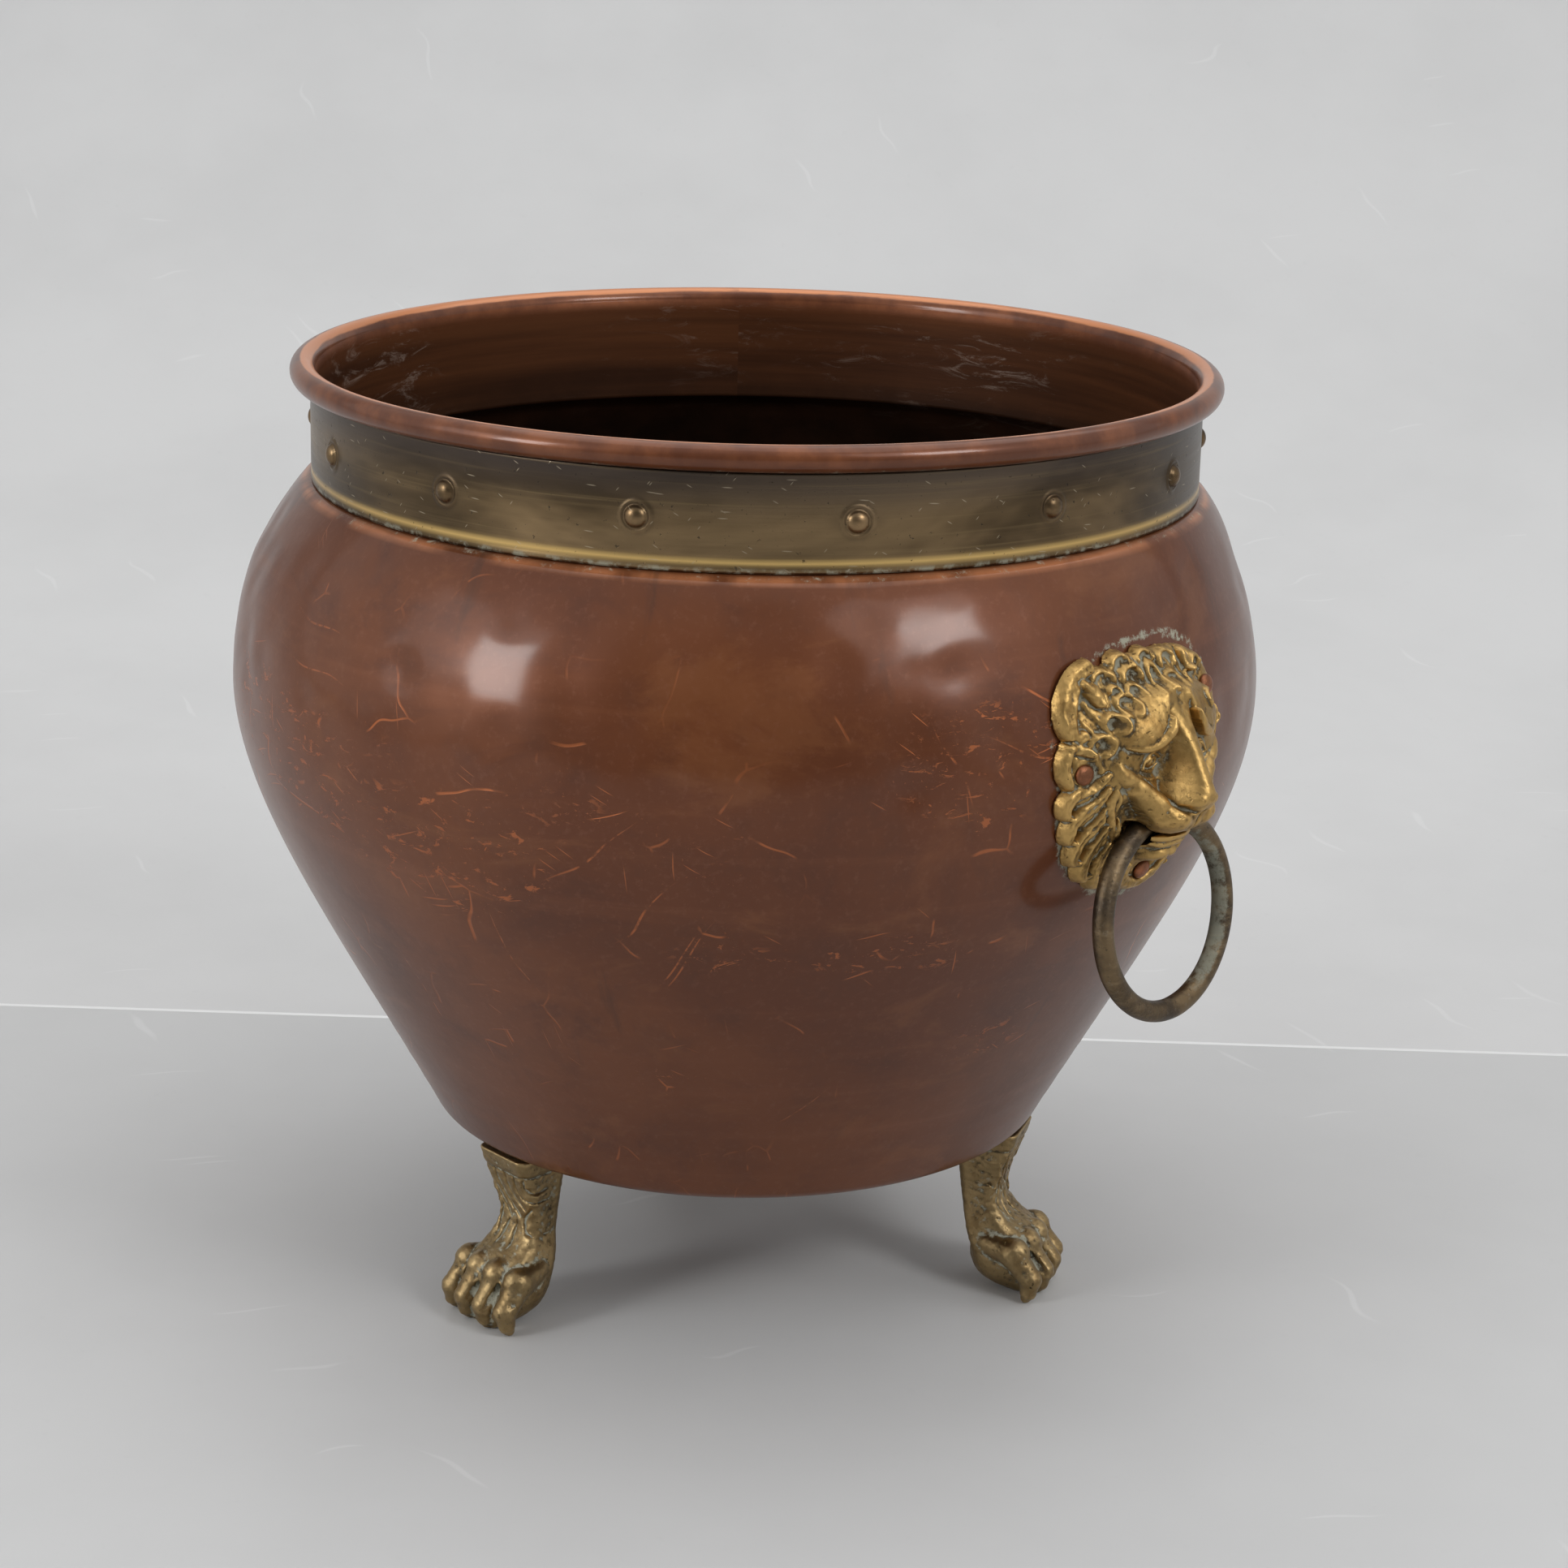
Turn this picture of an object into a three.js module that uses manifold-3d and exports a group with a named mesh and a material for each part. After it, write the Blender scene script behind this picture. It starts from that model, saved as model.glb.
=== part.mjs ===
// Copper planter pot (jardiniere) with a wired rolled rim, a brass band round the neck, two cast
// brass lion masks that carry drop rings, and three cast brass paw feet.
// Millimetres, +Z up. The origin is on the floor, on the pot's axis. The lions look along +X and -X.
import * as THREE from 'three';
import { mergeVertices } from 'three/addons/utils/BufferGeometryUtils.js';
import Module from 'manifold-3d';

const wasm = await Module();
wasm.setup();

// ---------------------------------------------------------------- driving dimensions
const footHeight = 58;          // floor to the underside of the pot
const wall = 1.1;               // copper sheet
const gap = 0.3;                // between pieces that touch
const around = 48;              // facets round the pot

const baseFlatRadius = 99.5;    // flat underside
const baseEdgeRadius = 6;       // rounding from the underside to the wall
const wallLean = THREE.MathUtils.degToRad(61.2);   // lower wall above the horizontal
const bellyRadius = 170;
const bellyHeight = 151;        // heights from here on are measured from the underside
const shoulder = { radius: 148.6, height: 213.2 }; // crest just below the band
const neckRadius = 144.4;       // outside of the neck
const neckFoot = 214.9;         // height of the ledge under the band
const rim = { radius: 147.7, height: 249.9, bead: 4.3, end: -115 };  // rolled rim
const wireRadius = 2.7;         // iron wire inside the rolled rim
const neckShift = { x: 1.55, y: 1.4, from: 188, to: 214 };           // neck out of true

const band = { inner: 144.7, outer: 145.3, bottom: 215.2, top: 245.2, slit: 0.5, slitAngle: 135 };
const boss = { count: 14, firstAngle: -35.2, height: 230.8, radius: 4.2, dome: 3.1, rise: 2.3 };

const mask = { middle: 146, edge: 3.2, mane: 5.8, skin: 2.6, back: 0.82 };
const seat = { height: 3.4, radius: 5.0, pocket: 4.3 };  // where a mask rivet bears
const maskRivets = {            // across the mask, and up from the underside
  side: [-33.5, 155],
  brow: [25, 171.5],
  chin: [0, 119],
};
const rivet = { head: 3.3, rise: 1.9, shank: 1.6, tail: 2.9, tailRise: 1.4 };

const ring = { radius: 30.2, wire: 3.5, fromAxis: 27.7, lean: 0.118 };
const hinge = { out: 174.2, up: 133 };                    // the line a ring swings about
const mouthHole = { radius: 6.4, half: 17.5, clearance: 0.6, swings: [0, 0.28, 1.66] };

const firstFootAngle = 24;
const footScrew = { radius: 91, across: 6, head: 4.2, rise: 2.2, shank: 2.0, depth: 14 };

// ---------------------------------------------------------------- materials
const finish = (color, roughness, metalness = 1) =>
  new THREE.MeshStandardMaterial({ color, roughness, metalness });
const copper = finish(0x7a4232, 0.3);
const wornCopper = finish(0xa55a3c, 0.4);
const brass = finish(0x7d6a42, 0.38);
const castBrass = finish(0xb08a45, 0.42);
const ringBrass = finish(0x6b5a41, 0.5);
const iron = finish(0x4a4542, 0.7);

// ---------------------------------------------------------------- solids
// One closed solid from a geometry: shared vertices merged, collapsed triangles dropped.
function solid(geometry) {
  const bare = geometry.clone();
  bare.deleteAttribute('normal');
  bare.deleteAttribute('uv');
  const welded = mergeVertices(bare, 1e-4);
  const corners = welded.index.array;
  const kept = [];
  for (let i = 0; i < corners.length; i += 3) {
    const [a, b, c] = [corners[i], corners[i + 1], corners[i + 2]];
    if (a !== b && b !== c && c !== a) kept.push(a, b, c);
  }
  return new wasm.Manifold(new wasm.Mesh({
    numProp: 3,
    vertProperties: welded.attributes.position.array,
    triVerts: new Uint32Array(kept),
  }));
}

function geometryOf(body) {
  const { vertProperties, triVerts } = body.getMesh();
  const geometry = new THREE.BufferGeometry();
  geometry.setAttribute('position', new THREE.BufferAttribute(vertProperties, 3));
  geometry.setIndex(new THREE.BufferAttribute(triVerts, 1));
  return geometry;
}

// A profile of [radius, height] pairs turned about +Z.
function turned(profile, segments = around) {
  const points = profile.map(([radius, height]) => new THREE.Vector2(radius, height));
  return new THREE.LatheGeometry(points, segments).rotateX(Math.PI / 2);
}

function piece(name, geometry, material) {
  const mesh = new THREE.Mesh(geometry, material);
  mesh.name = name;
  return mesh;
}

// Points on a circle arc in the profile plane, from one angle to another in degrees.
function arc(radius, height, size, from, to, steps) {
  return Array.from({ length: steps + 1 }, (_, i) => {
    const angle = THREE.MathUtils.degToRad(from + ((to - from) * i) / steps);
    return [radius + size * Math.cos(angle), height + size * Math.sin(angle)];
  });
}

// Linear reading of a short table of [position, value] pairs.
function read(table, at) {
  if (at <= table[0][0]) return table[0][1];
  for (let i = 1; i < table.length; i++) {
    const [x0, y0] = table[i - 1];
    const [x1, y1] = table[i];
    if (at <= x1) return y0 + ((y1 - y0) * (at - x0)) / (x1 - x0);
  }
  return table[table.length - 1][1];
}

// ---------------------------------------------------------------- the pot's outline
const vector = (radius, height) => new THREE.Vector2(radius, height);
const edgeEnd = arc(baseFlatRadius, baseEdgeRadius, baseEdgeRadius, -90,
  THREE.MathUtils.radToDeg(wallLean) - 90, 1)[1];
const lowerWall = new THREE.CubicBezierCurve(
  vector(...edgeEnd), vector(144, 75), vector(bellyRadius, 115), vector(bellyRadius, bellyHeight));
const upperWall = new THREE.CubicBezierCurve(
  vector(bellyRadius, bellyHeight), vector(bellyRadius, 176), vector(160.5, 199),
  vector(shoulder.radius, shoulder.height));

// Points along the wall, moved inwards by a depth (outwards when it is negative).
function wallPoints(curve, steps, depth) {
  return Array.from({ length: steps + 1 }, (_, i) => {
    const at = curve.getPoint(i / steps);
    const along = curve.getTangent(i / steps);
    return [at.x - along.y * depth, at.y + along.x * depth];
  });
}

function bodyProfile(depth) {
  const leanDegrees = THREE.MathUtils.radToDeg(wallLean);
  return [
    [0, depth],
    ...arc(baseFlatRadius, baseEdgeRadius, baseEdgeRadius - depth, -90, leanDegrees - 90, 3),
    ...wallPoints(lowerWall, 6, depth).slice(1),
    ...wallPoints(upperWall, 5, depth).slice(1),
  ];
}

// Wall radius at a height above the underside, by bisection along the wall curves.
function wallRadius(height) {
  const curve = height < bellyHeight ? lowerWall : upperWall;
  let [low, high] = [0, 1];
  for (let i = 0; i < 30; i++) {
    const middle = (low + high) / 2;
    if (curve.getPoint(middle).y < height) low = middle;
    else high = middle;
  }
  return curve.getPoint(low).x;
}

// The neck stands a little to one side of the belly.
function shiftNeck(geometry) {
  const place = geometry.attributes.position;
  for (let i = 0; i < place.count; i++) {
    const share = THREE.MathUtils.smoothstep(place.getZ(i), neckShift.from, neckShift.to);
    place.setX(i, place.getX(i) + share * neckShift.x);
    place.setY(i, place.getY(i) + share * neckShift.y);
  }
  return geometry;
}

// ---------------------------------------------------------------- rivets and screws
// Frame of a rivet on the wall: origin on the wall's outside, +Z along its normal.
function wallFrame([across, up]) {
  const radius = wallRadius(up);
  const slope = wallRadius(up + 0.5) - wallRadius(up - 0.5);
  const turn = Math.asin(across / radius);
  const normal = new THREE.Vector3(Math.cos(turn), Math.sin(turn), -slope).normalize();
  const turnToNormal = new THREE.Quaternion().setFromUnitVectors(new THREE.Vector3(0, 0, 1), normal);
  const foot = new THREE.Vector3(radius * Math.cos(turn), across, up);
  return new THREE.Matrix4().compose(foot, turnToNormal, new THREE.Vector3(1, 1, 1));
}

const rod = (radius, from, to, sides = 8) =>
  turned([[0, from], [radius, from], [radius, to], [0, to]], sides);

function rivetGeometry() {
  const inside = -wall - 0.9;   // the tail clears the wall's facets
  const outside = seat.height + gap;
  return turned([
    [0, inside - rivet.tailRise],
    [rivet.tail * 0.7, inside - rivet.tailRise * 0.7],
    [rivet.tail, inside],
    [rivet.shank, inside],
    [rivet.shank, outside],
    [rivet.head, outside],
    [rivet.head * 0.75, outside + rivet.rise * 0.7],
    [0, outside + rivet.rise],
  ], 8);
}

function screwGeometry() {
  const top = wall + gap;
  const { head, rise, shank, depth } = footScrew;
  return turned([
    [0, -depth], [shank, -depth], [shank, top], [head, top], [head * 0.75, top + rise * 0.7],
    [0, top + rise],
  ], 8);
}

// ---------------------------------------------------------------- copper pot
const footAngles = [0, 1, 2].map((i) => THREE.MathUtils.degToRad(firstFootAngle + 120 * i));

function potShell() {
  const inside = bodyProfile(wall).reverse();
  const rollStart = 180;
  const roll = [
    ...arc(rim.radius, rim.height, rim.bead - wall, rollStart, rim.end, 6),
    ...arc(rim.radius, rim.height, rim.bead, rim.end, rollStart, 8),
  ];
  const profile = [
    ...bodyProfile(0),
    [shoulder.radius - 1.4, neckFoot - 0.3],
    [neckRadius, neckFoot],
    ...roll,
    [neckRadius - wall, neckFoot - 0.3],
    [shoulder.radius - 3, shoulder.height + 0.4],
    ...inside,
  ];
  let body = solid(turned(profile));
  for (const side of [0, Math.PI]) {
    for (const place of Object.values(maskRivets)) {
      const hole = rod(rivet.shank + gap, -6, 4).applyMatrix4(wallFrame(place)).rotateZ(side);
      body = body.subtract(solid(hole));
    }
  }
  for (const angle of footAngles) {
    for (const across of [-footScrew.across, footScrew.across]) {
      const hole = rod(footScrew.shank + gap, -3, 4).translate(footScrew.radius, across, 0);
      body = body.subtract(solid(hole.rotateZ(angle)));
    }
  }
  return shiftNeck(geometryOf(body));
}

const rimWire = () => shiftNeck(turned(arc(rim.radius, rim.height, wireRadius, 0, 360, 6)));

// ---------------------------------------------------------------- brass band with raised bosses
function neckBand() {
  const { inner, outer, bottom, top } = band;
  let body = solid(turned([
    [inner, bottom], [outer, bottom], [outer, top], [inner, top], [inner, bottom]]));
  for (let i = 0; i < boss.count; i++) {
    const angle = THREE.MathUtils.degToRad(boss.firstAngle + (360 / boss.count) * i);
    const dome = turned([
      [0, 0], [boss.radius, 0], [boss.radius, 0.7], [boss.dome, 0.9],
      [boss.dome * 0.7, boss.rise * 0.8], [0, boss.rise]], 8);
    dome.rotateY(Math.PI / 2).translate(inner + 0.2, 0, boss.height).rotateZ(angle);
    body = body.add(solid(dome));
  }
  const slit = new THREE.BoxGeometry(20, band.slit, 60).translate(outer, 0, (bottom + top) / 2);
  slit.rotateZ(THREE.MathUtils.degToRad(band.slitAngle));
  return shiftNeck(geometryOf(body.subtract(solid(slit))));
}

// ---------------------------------------------------------------- lion mask
// The mask is drawn looking at the lion: across is +Y, up is +Z, and it rises along +X.
const maskOutline = new THREE.SplineCurve([
  [0, 188], [12, 187.5], [22, 184.5], [30, 177], [33.5, 166], [33.5, 154], [31, 140], [24, 125.5],
  [15, 115], [6, 110.5], [0, 110], [-6, 110.5], [-16, 115], [-26, 125], [-34.5, 140],
  [-38.5, 154], [-39, 167], [-35.5, 177.5], [-25, 184.5], [-13, 187.5], [0, 188],
].map(([across, up]) => vector(across, up)));

const noseLine = [[109.5, 4], [119.5, 4.2], [124, 11.5], [130, 15], [137, 18.5], [142, 21],
  [146, 23], [156, 18.5], [168, 12.5], [178, 9.5], [190, 5]];
const noseWidth = [[110, 9], [124, 10], [135, 14], [147, 13], [158, 10.5], [170, 15], [190, 30]];
const swellings = [   // across, up, half width, half height, rise: brows and cheeks
  [16, 165.5, 12.5, 9, 11.2], [18, 149, 11, 10, 9.2],
];

// Rise of the mask above the wall. The share goes from 0 in the middle to 1 on the outline.
function maskRise(across, up, share) {
  const mane = mask.edge + (mask.mane - mask.edge) * (1 - share ** 8);
  const nose = read(noseLine, up);
  const spread = Math.exp(-((Math.abs(across) / read(noseWidth, up)) ** 3));
  let rise = mane + Math.max(0, nose - mane) * spread;
  for (const [middle, height, halfWidth, halfHeight, peak] of swellings) {
    const off = ((Math.abs(across) - middle) / halfWidth) ** 2 + ((up - height) / halfHeight) ** 2;
    if (off < 1) rise = Math.max(rise, mane + (peak - mane) * (1 - off) ** 0.7);
  }
  return rise;
}

const wallOut = (across, up) => Math.sqrt(wallRadius(up) ** 2 - across ** 2);

// Front and back sheets over the same spokes and rings, joined round the outline.
function maskSheet() {
  const spokes = 36;
  const rings = 9;
  const places = [];
  for (const front of [true, false]) {
    for (let k = 0; k <= rings; k++) {
      for (let i = 0; i < (k === 0 ? 1 : spokes); i++) {
        const share = k / rings;
        const edge = maskOutline.getPointAt(i / spokes);
        const across = edge.x * share;
        const up = mask.middle + (edge.y - mask.middle) * share;
        const rise = maskRise(across, up, share);
        const hollow = share < mask.back ? Math.max(0, rise - mask.skin) : 0;
        places.push(wallOut(across, up) + gap + (front ? rise : hollow), across, up);
      }
    }
  }
  const sheetSize = 1 + rings * spokes;
  const corner = (sheet, k, i) =>
    sheet * sheetSize + (k === 0 ? 0 : 1 + (k - 1) * spokes + (i % spokes));
  const faces = [];
  const add = (a, b, c, turnOver) => faces.push(...(turnOver ? [a, c, b] : [a, b, c]));
  for (const sheet of [0, 1]) {
    const turnOver = sheet === 0;   // the outline runs clockwise as the lion is looked at
    for (let i = 0; i < spokes; i++) {
      add(corner(sheet, 0, 0), corner(sheet, 1, i), corner(sheet, 1, i + 1), turnOver);
      for (let k = 1; k < rings; k++) {
        const [a, b] = [corner(sheet, k, i), corner(sheet, k, i + 1)];
        const [c, d] = [corner(sheet, k + 1, i), corner(sheet, k + 1, i + 1)];
        add(a, c, d, turnOver);
        add(a, d, b, turnOver);
      }
    }
  }
  for (let i = 0; i < spokes; i++) {
    const [a, b] = [corner(0, rings, i), corner(0, rings, i + 1)];
    const [c, d] = [corner(1, rings, i), corner(1, rings, i + 1)];
    add(a, c, d, true);
    add(a, d, b, true);
  }
  const geometry = new THREE.BufferGeometry();
  geometry.setAttribute('position', new THREE.Float32BufferAttribute(places, 3));
  geometry.setIndex(faces);
  return geometry;
}

function ringGeometry(tube, swing = 0) {
  const geometry = new THREE.TorusGeometry(ring.radius, tube, 8, 32).rotateY(Math.PI / 2);
  geometry.translate(0, 0, -ring.fromAxis).rotateY(-ring.lean - swing);
  return geometry.translate(hinge.out, 0, hinge.up);
}

function maskGeometry() {
  let body = solid(maskSheet());
  for (const place of Object.values(maskRivets)) {
    const frame = wallFrame(place);
    const placed = (geometry) => solid(geometry.applyMatrix4(frame));
    body = body.add(placed(rod(seat.radius, gap + 0.15, seat.height)));
    body = body.subtract(placed(rod(seat.pocket, seat.height, seat.height + 12)));
    body = body.subtract(placed(rod(rivet.shank + gap, -3, seat.height + 3)));
  }
  const passage = rod(mouthHole.radius, -mouthHole.half, mouthHole.half, 12).rotateX(Math.PI / 2);
  body = body.subtract(solid(passage.translate(hinge.out, 0, hinge.up)));
  for (const swing of mouthHole.swings) {
    body = body.subtract(solid(ringGeometry(ring.wire + mouthHole.clearance, swing)));
  }
  return geometryOf(body);
}

// ---------------------------------------------------------------- paw foot
// Drawn pointing along +X; heights in this section are measured from the floor.
const toes = [-14, -4.8, 4.8, 14];
const legHalfWidth = 12.5;

function ball([x, y, z], [halfX, halfY, halfZ]) {
  const geometry = new THREE.SphereGeometry(1, 8, 5).rotateX(Math.PI / 2);
  return geometry.scale(halfX, halfY, halfZ).translate(x, y, z);
}

function footGeometry() {
  const side = new THREE.Shape();
  side.moveTo(82, 62);
  side.splineThru([[82.5, 42], [85, 27], [91.5, 11], [102, 2]].map((p) => vector(...p)));
  side.lineTo(104, 0);
  side.lineTo(111, 0);
  side.splineThru([[110, 12], [105, 22], [96.5, 27], [94, 34], [97.5, 45], [102, 56]]
    .map((p) => vector(...p)));
  side.lineTo(103, 64);
  side.closePath();
  const bevel = 2.5;
  const leg = new THREE.ExtrudeGeometry(side, {
    depth: 2 * (legHalfWidth - bevel), bevelEnabled: true, bevelThickness: bevel,
    bevelSize: bevel, bevelOffset: -bevel, bevelSegments: 1, curveSegments: 2,
  });
  leg.translate(0, 0, bevel - legHalfWidth).rotateX(Math.PI / 2);
  let body = solid(leg);
  for (const across of toes) {
    const spread = across * 1.12;
    body = body.add(solid(ball([106.5, across, 14.5], [10.4, 5.4, 9.8])));
    body = body.add(solid(ball([112, spread, 6], [4, 3.2, 7.5])));
  }
  body = body.add(solid(ball([98, 0, 12.5], [12.5, 15, 12.5])));
  const floor = new THREE.BoxGeometry(80, 80, 20).translate(100, 0, -10);
  const pot = turned([...bodyProfile(-gap), [0, shoulder.height]]).translate(0, 0, footHeight);
  body = body.subtract(solid(floor)).subtract(solid(pot));
  for (const across of [-footScrew.across, footScrew.across]) {
    const hole = rod(footScrew.shank + gap, footHeight - footScrew.depth - gap, footHeight + 5);
    body = body.subtract(solid(hole.translate(footScrew.radius, across, 0)));
  }
  return geometryOf(body);
}

// ---------------------------------------------------------------- assembly
const planter = new THREE.Group();
const pot = new THREE.Group();
pot.position.z = footHeight;
planter.add(pot);
pot.add(
  piece('pot_shell', potShell(), copper),
  piece('rim_wire', rimWire(), iron),
  piece('neck_band', neckBand(), brass),
);

const maskBody = maskGeometry();
const ringBody = ringGeometry(ring.wire);
const rivetBody = rivetGeometry();
for (const [name, turn] of [['right', 0], ['left', Math.PI]]) {
  const side = new THREE.Group();
  side.rotation.z = turn;
  side.add(piece(`lion_mask_${name}`, maskBody, castBrass));
  side.add(piece(`ring_${name}`, ringBody, ringBrass));
  for (const [where, place] of Object.entries(maskRivets)) {
    const fixing = piece(`mask_rivet_${name}_${where}`, rivetBody, wornCopper);
    wallFrame(place).decompose(fixing.position, fixing.quaternion, fixing.scale);
    side.add(fixing);
  }
  pot.add(side);
}

const footBody = footGeometry();
const screwBody = screwGeometry();
['right', 'rear', 'front'].forEach((name, i) => {
  const place = new THREE.Group();
  place.rotation.z = footAngles[i];
  place.add(piece(`paw_foot_${name}`, footBody, castBrass));
  [-footScrew.across, footScrew.across].forEach((across, j) => {
    const screw = piece(`foot_screw_${name}_${j + 1}`, screwBody, brass);
    screw.position.set(footScrew.radius, across, footHeight);
    place.add(screw);
  });
  planter.add(place);
});

export default planter;
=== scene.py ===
"""A copper planter pot with a brass neck band, two lion masks with drop rings and three paw feet.

Shapes are worked out in millimetres and made in metres. Heights called "up" are above the pot's
underside, and "across" runs along +Y on the lion that faces +X. The lion and the foot are each
drawn once, as a field that is negative inside the metal, and the copies are turned round the pot."""

import math

import bmesh
import bpy
import numpy as np
from mathutils import Matrix, Vector


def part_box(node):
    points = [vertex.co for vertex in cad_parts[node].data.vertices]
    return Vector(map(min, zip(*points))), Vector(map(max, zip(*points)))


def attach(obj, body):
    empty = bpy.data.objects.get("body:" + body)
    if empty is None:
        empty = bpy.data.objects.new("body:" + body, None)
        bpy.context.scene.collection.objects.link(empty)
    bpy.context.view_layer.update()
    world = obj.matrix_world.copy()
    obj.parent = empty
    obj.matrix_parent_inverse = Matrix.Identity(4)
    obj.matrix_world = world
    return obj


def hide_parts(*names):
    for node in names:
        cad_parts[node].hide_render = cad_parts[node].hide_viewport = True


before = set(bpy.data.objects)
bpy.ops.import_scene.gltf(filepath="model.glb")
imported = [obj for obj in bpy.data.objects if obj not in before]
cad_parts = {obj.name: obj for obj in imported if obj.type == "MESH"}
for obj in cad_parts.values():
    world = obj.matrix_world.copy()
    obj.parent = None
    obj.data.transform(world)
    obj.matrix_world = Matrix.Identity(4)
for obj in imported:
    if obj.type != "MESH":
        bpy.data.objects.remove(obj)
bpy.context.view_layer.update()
MM = 0.001
rng = np.random.default_rng(7)

# ------------------------------------------------------------------ driving dimensions (mm)
FOOT_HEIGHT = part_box("pot_shell")[0].z / MM          # floor to the pot's underside
WALL = 1.1
GAP = 0.3
BASE_FLAT, BASE_EDGE = 99.5, 6.0
LEAN = math.radians(61.2)
BELLY = (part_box("pot_shell")[1].y / MM, 151.0)        # radius, up
SHOULDER = (148.6, 213.2)
NECK_RADIUS, NECK_FOOT = 144.4, 214.9
RIM_RADIUS, RIM_UP, BEAD = 147.7, 249.9, 4.12
RIM_END = -115
WIRE_RADIUS = 2.7
NECK_SHIFT = (1.55, 1.4, 188.0, 214.0)                # x, y, from up, to up
BAND = {"inner": 144.7, "thick": 0.6, "bottom": 215.2, "top": 245.2, "seam": 135.0}
STUDS = {"count": 14, "first": -35.2, "up": 230.8, "dome": 3.5, "skirt": 4.7, "rise": 2.3}
HINGE = (174.2, 133.0)                                # out, up
RING = {"radius": 30.2, "wire": 3.5, "drop": 27.7, "lean": 0.118}
RIVET_PLACES = {"side": (-33.5, 155.0), "brow": (25.0, 171.5), "chin": (0.0, 119.0)}     # across, up
FOOT_ANGLES = {"right": 24, "rear": 144, "front": 264}
SCREW_RADIUS, SCREW_ACROSS = 91.0, 6.0
SIDES = {"right": 0.0, "left": math.pi}


# ------------------------------------------------------------------ curves and outlines
def bezier(a, b, c, d, count):
    t = np.linspace(0, 1, count + 1)[:, None]
    a, b, c, d = (np.array(p, float) for p in (a, b, c, d))
    return (1 - t) ** 3 * a + 3 * (1 - t) ** 2 * t * b + 3 * (1 - t) * t**2 * c + t**3 * d


def arc(centre, size, start, end, count):
    angle = np.radians(np.linspace(start, end, count + 1))
    return np.column_stack([centre[0] + size * np.cos(angle), centre[1] + size * np.sin(angle)])


def spline(points, count=10, closed=False):
    """A smooth Catmull-Rom line through the points, with count steps between each two."""
    p = np.array(points, float)
    p = np.vstack([p[-1], p, p[0], p[1]]) if closed else np.vstack([2 * p[0] - p[1], p, 2 * p[-1] - p[-2]])
    t = np.linspace(0, 1, count, endpoint=False)[:, None]
    runs = []
    for a, b, c, d in zip(p[:-3], p[1:-2], p[2:-1], p[3:]):
        runs.append(0.5 * (2 * b + (c - a) * t + (2 * a - 5 * b + 4 * c - d) * t**2
                           + (3 * b - a - 3 * c + d) * t**3))
    line = np.vstack(runs)
    return line if closed else np.vstack([line, p[-2]])


def smooth_step(x, low, high):
    t = np.clip((x - low) / (high - low), 0, 1)
    return t * t * (3 - 2 * t)


def soft_max(a, b, width):
    h = np.clip(0.5 + 0.5 * (a - b) / width, 0, 1)
    return b + (a - b) * h + width * h * (1 - h)


def soft_min(a, b, width):
    return -soft_max(-a, -b, width)


edge_end = arc((BASE_FLAT, BASE_EDGE), BASE_EDGE, -90, math.degrees(LEAN) - 90, 1)[1]
lower_wall = bezier(edge_end, (144, 75), (BELLY[0], 115), BELLY, 64)
upper_wall = bezier(BELLY, (BELLY[0], 176), (160.5, 199), SHOULDER, 34)
WALL_LINE = np.vstack([lower_wall, upper_wall[1:]])


def wall_radius(up):
    return np.interp(up, WALL_LINE[:, 1], WALL_LINE[:, 0])


def wall_out(across, up):
    return np.sqrt(np.maximum(wall_radius(up) ** 2 - across**2, 0))


# ------------------------------------------------------------------ meshes
def make_mesh(name, points, faces, attributes=None):
    """An object from points in mm and faces of 3 or 4 corners; attributes are one number a point."""
    mesh = bpy.data.meshes.new(name)
    faces = np.asarray(faces)
    count, corners = faces.shape
    mesh.vertices.add(len(points))
    mesh.vertices.foreach_set("co", (np.asarray(points, float) * MM).astype(np.float32).ravel())
    mesh.loops.add(count * corners)
    mesh.loops.foreach_set("vertex_index", faces.astype(np.int32).ravel())
    mesh.polygons.add(count)
    mesh.polygons.foreach_set("loop_start", np.arange(0, count * corners, corners, dtype=np.int32))
    mesh.polygons.foreach_set("use_smooth", np.ones(count, bool))
    mesh.update(calc_edges=True)
    mesh.validate()
    for key, values in (attributes or {}).items():
        layer = mesh.attributes.new(key, "FLOAT", "POINT")
        layer.data.foreach_set("value", np.asarray(values, np.float32).ravel())
    thing = bpy.data.objects.new(name, mesh)
    bpy.context.scene.collection.objects.link(thing)
    return thing


def loft(rings, closed_along):
    """Faces between rings of points, each ring closed; closed_along joins the last ring to the first."""
    rows, columns = rings.shape[:2]
    last = rows if closed_along else rows - 1
    i, j = np.meshgrid(np.arange(last), np.arange(columns), indexing="ij")
    nexti, nextj = (i + 1) % rows, (j + 1) % columns
    corners = [i * columns + j, i * columns + nextj, nexti * columns + nextj, nexti * columns + j]
    return np.stack([c.ravel() for c in corners], axis=1)


def turned(profile, angles):
    """Rings of a closed [radius, up] profile turned about the pot's axis, as an array of points."""
    radius, up = profile[:, 0][:, None], profile[:, 1][:, None]
    return np.stack([radius * np.cos(angles), radius * np.sin(angles), up + 0 * angles], axis=2)


def paint(things, material):
    for thing in things:
        thing.data.materials.append(material)


def rotated(points, turn):
    """A copy of the points, turned about the pot's axis."""
    c, s = math.cos(turn), math.sin(turn)
    placed = np.array(points, float)
    placed[..., :2] = placed[..., :2] @ np.array([[c, s], [-s, c]])
    return placed


def shift_neck(points):
    """The neck stands a little to one side of the belly. Heights here are from the floor."""
    share = smooth_step(points[..., 2] - FOOT_HEIGHT, NECK_SHIFT[2], NECK_SHIFT[3])
    points[..., 0] += share * NECK_SHIFT[0]
    points[..., 1] += share * NECK_SHIFT[1]
    return points


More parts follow.
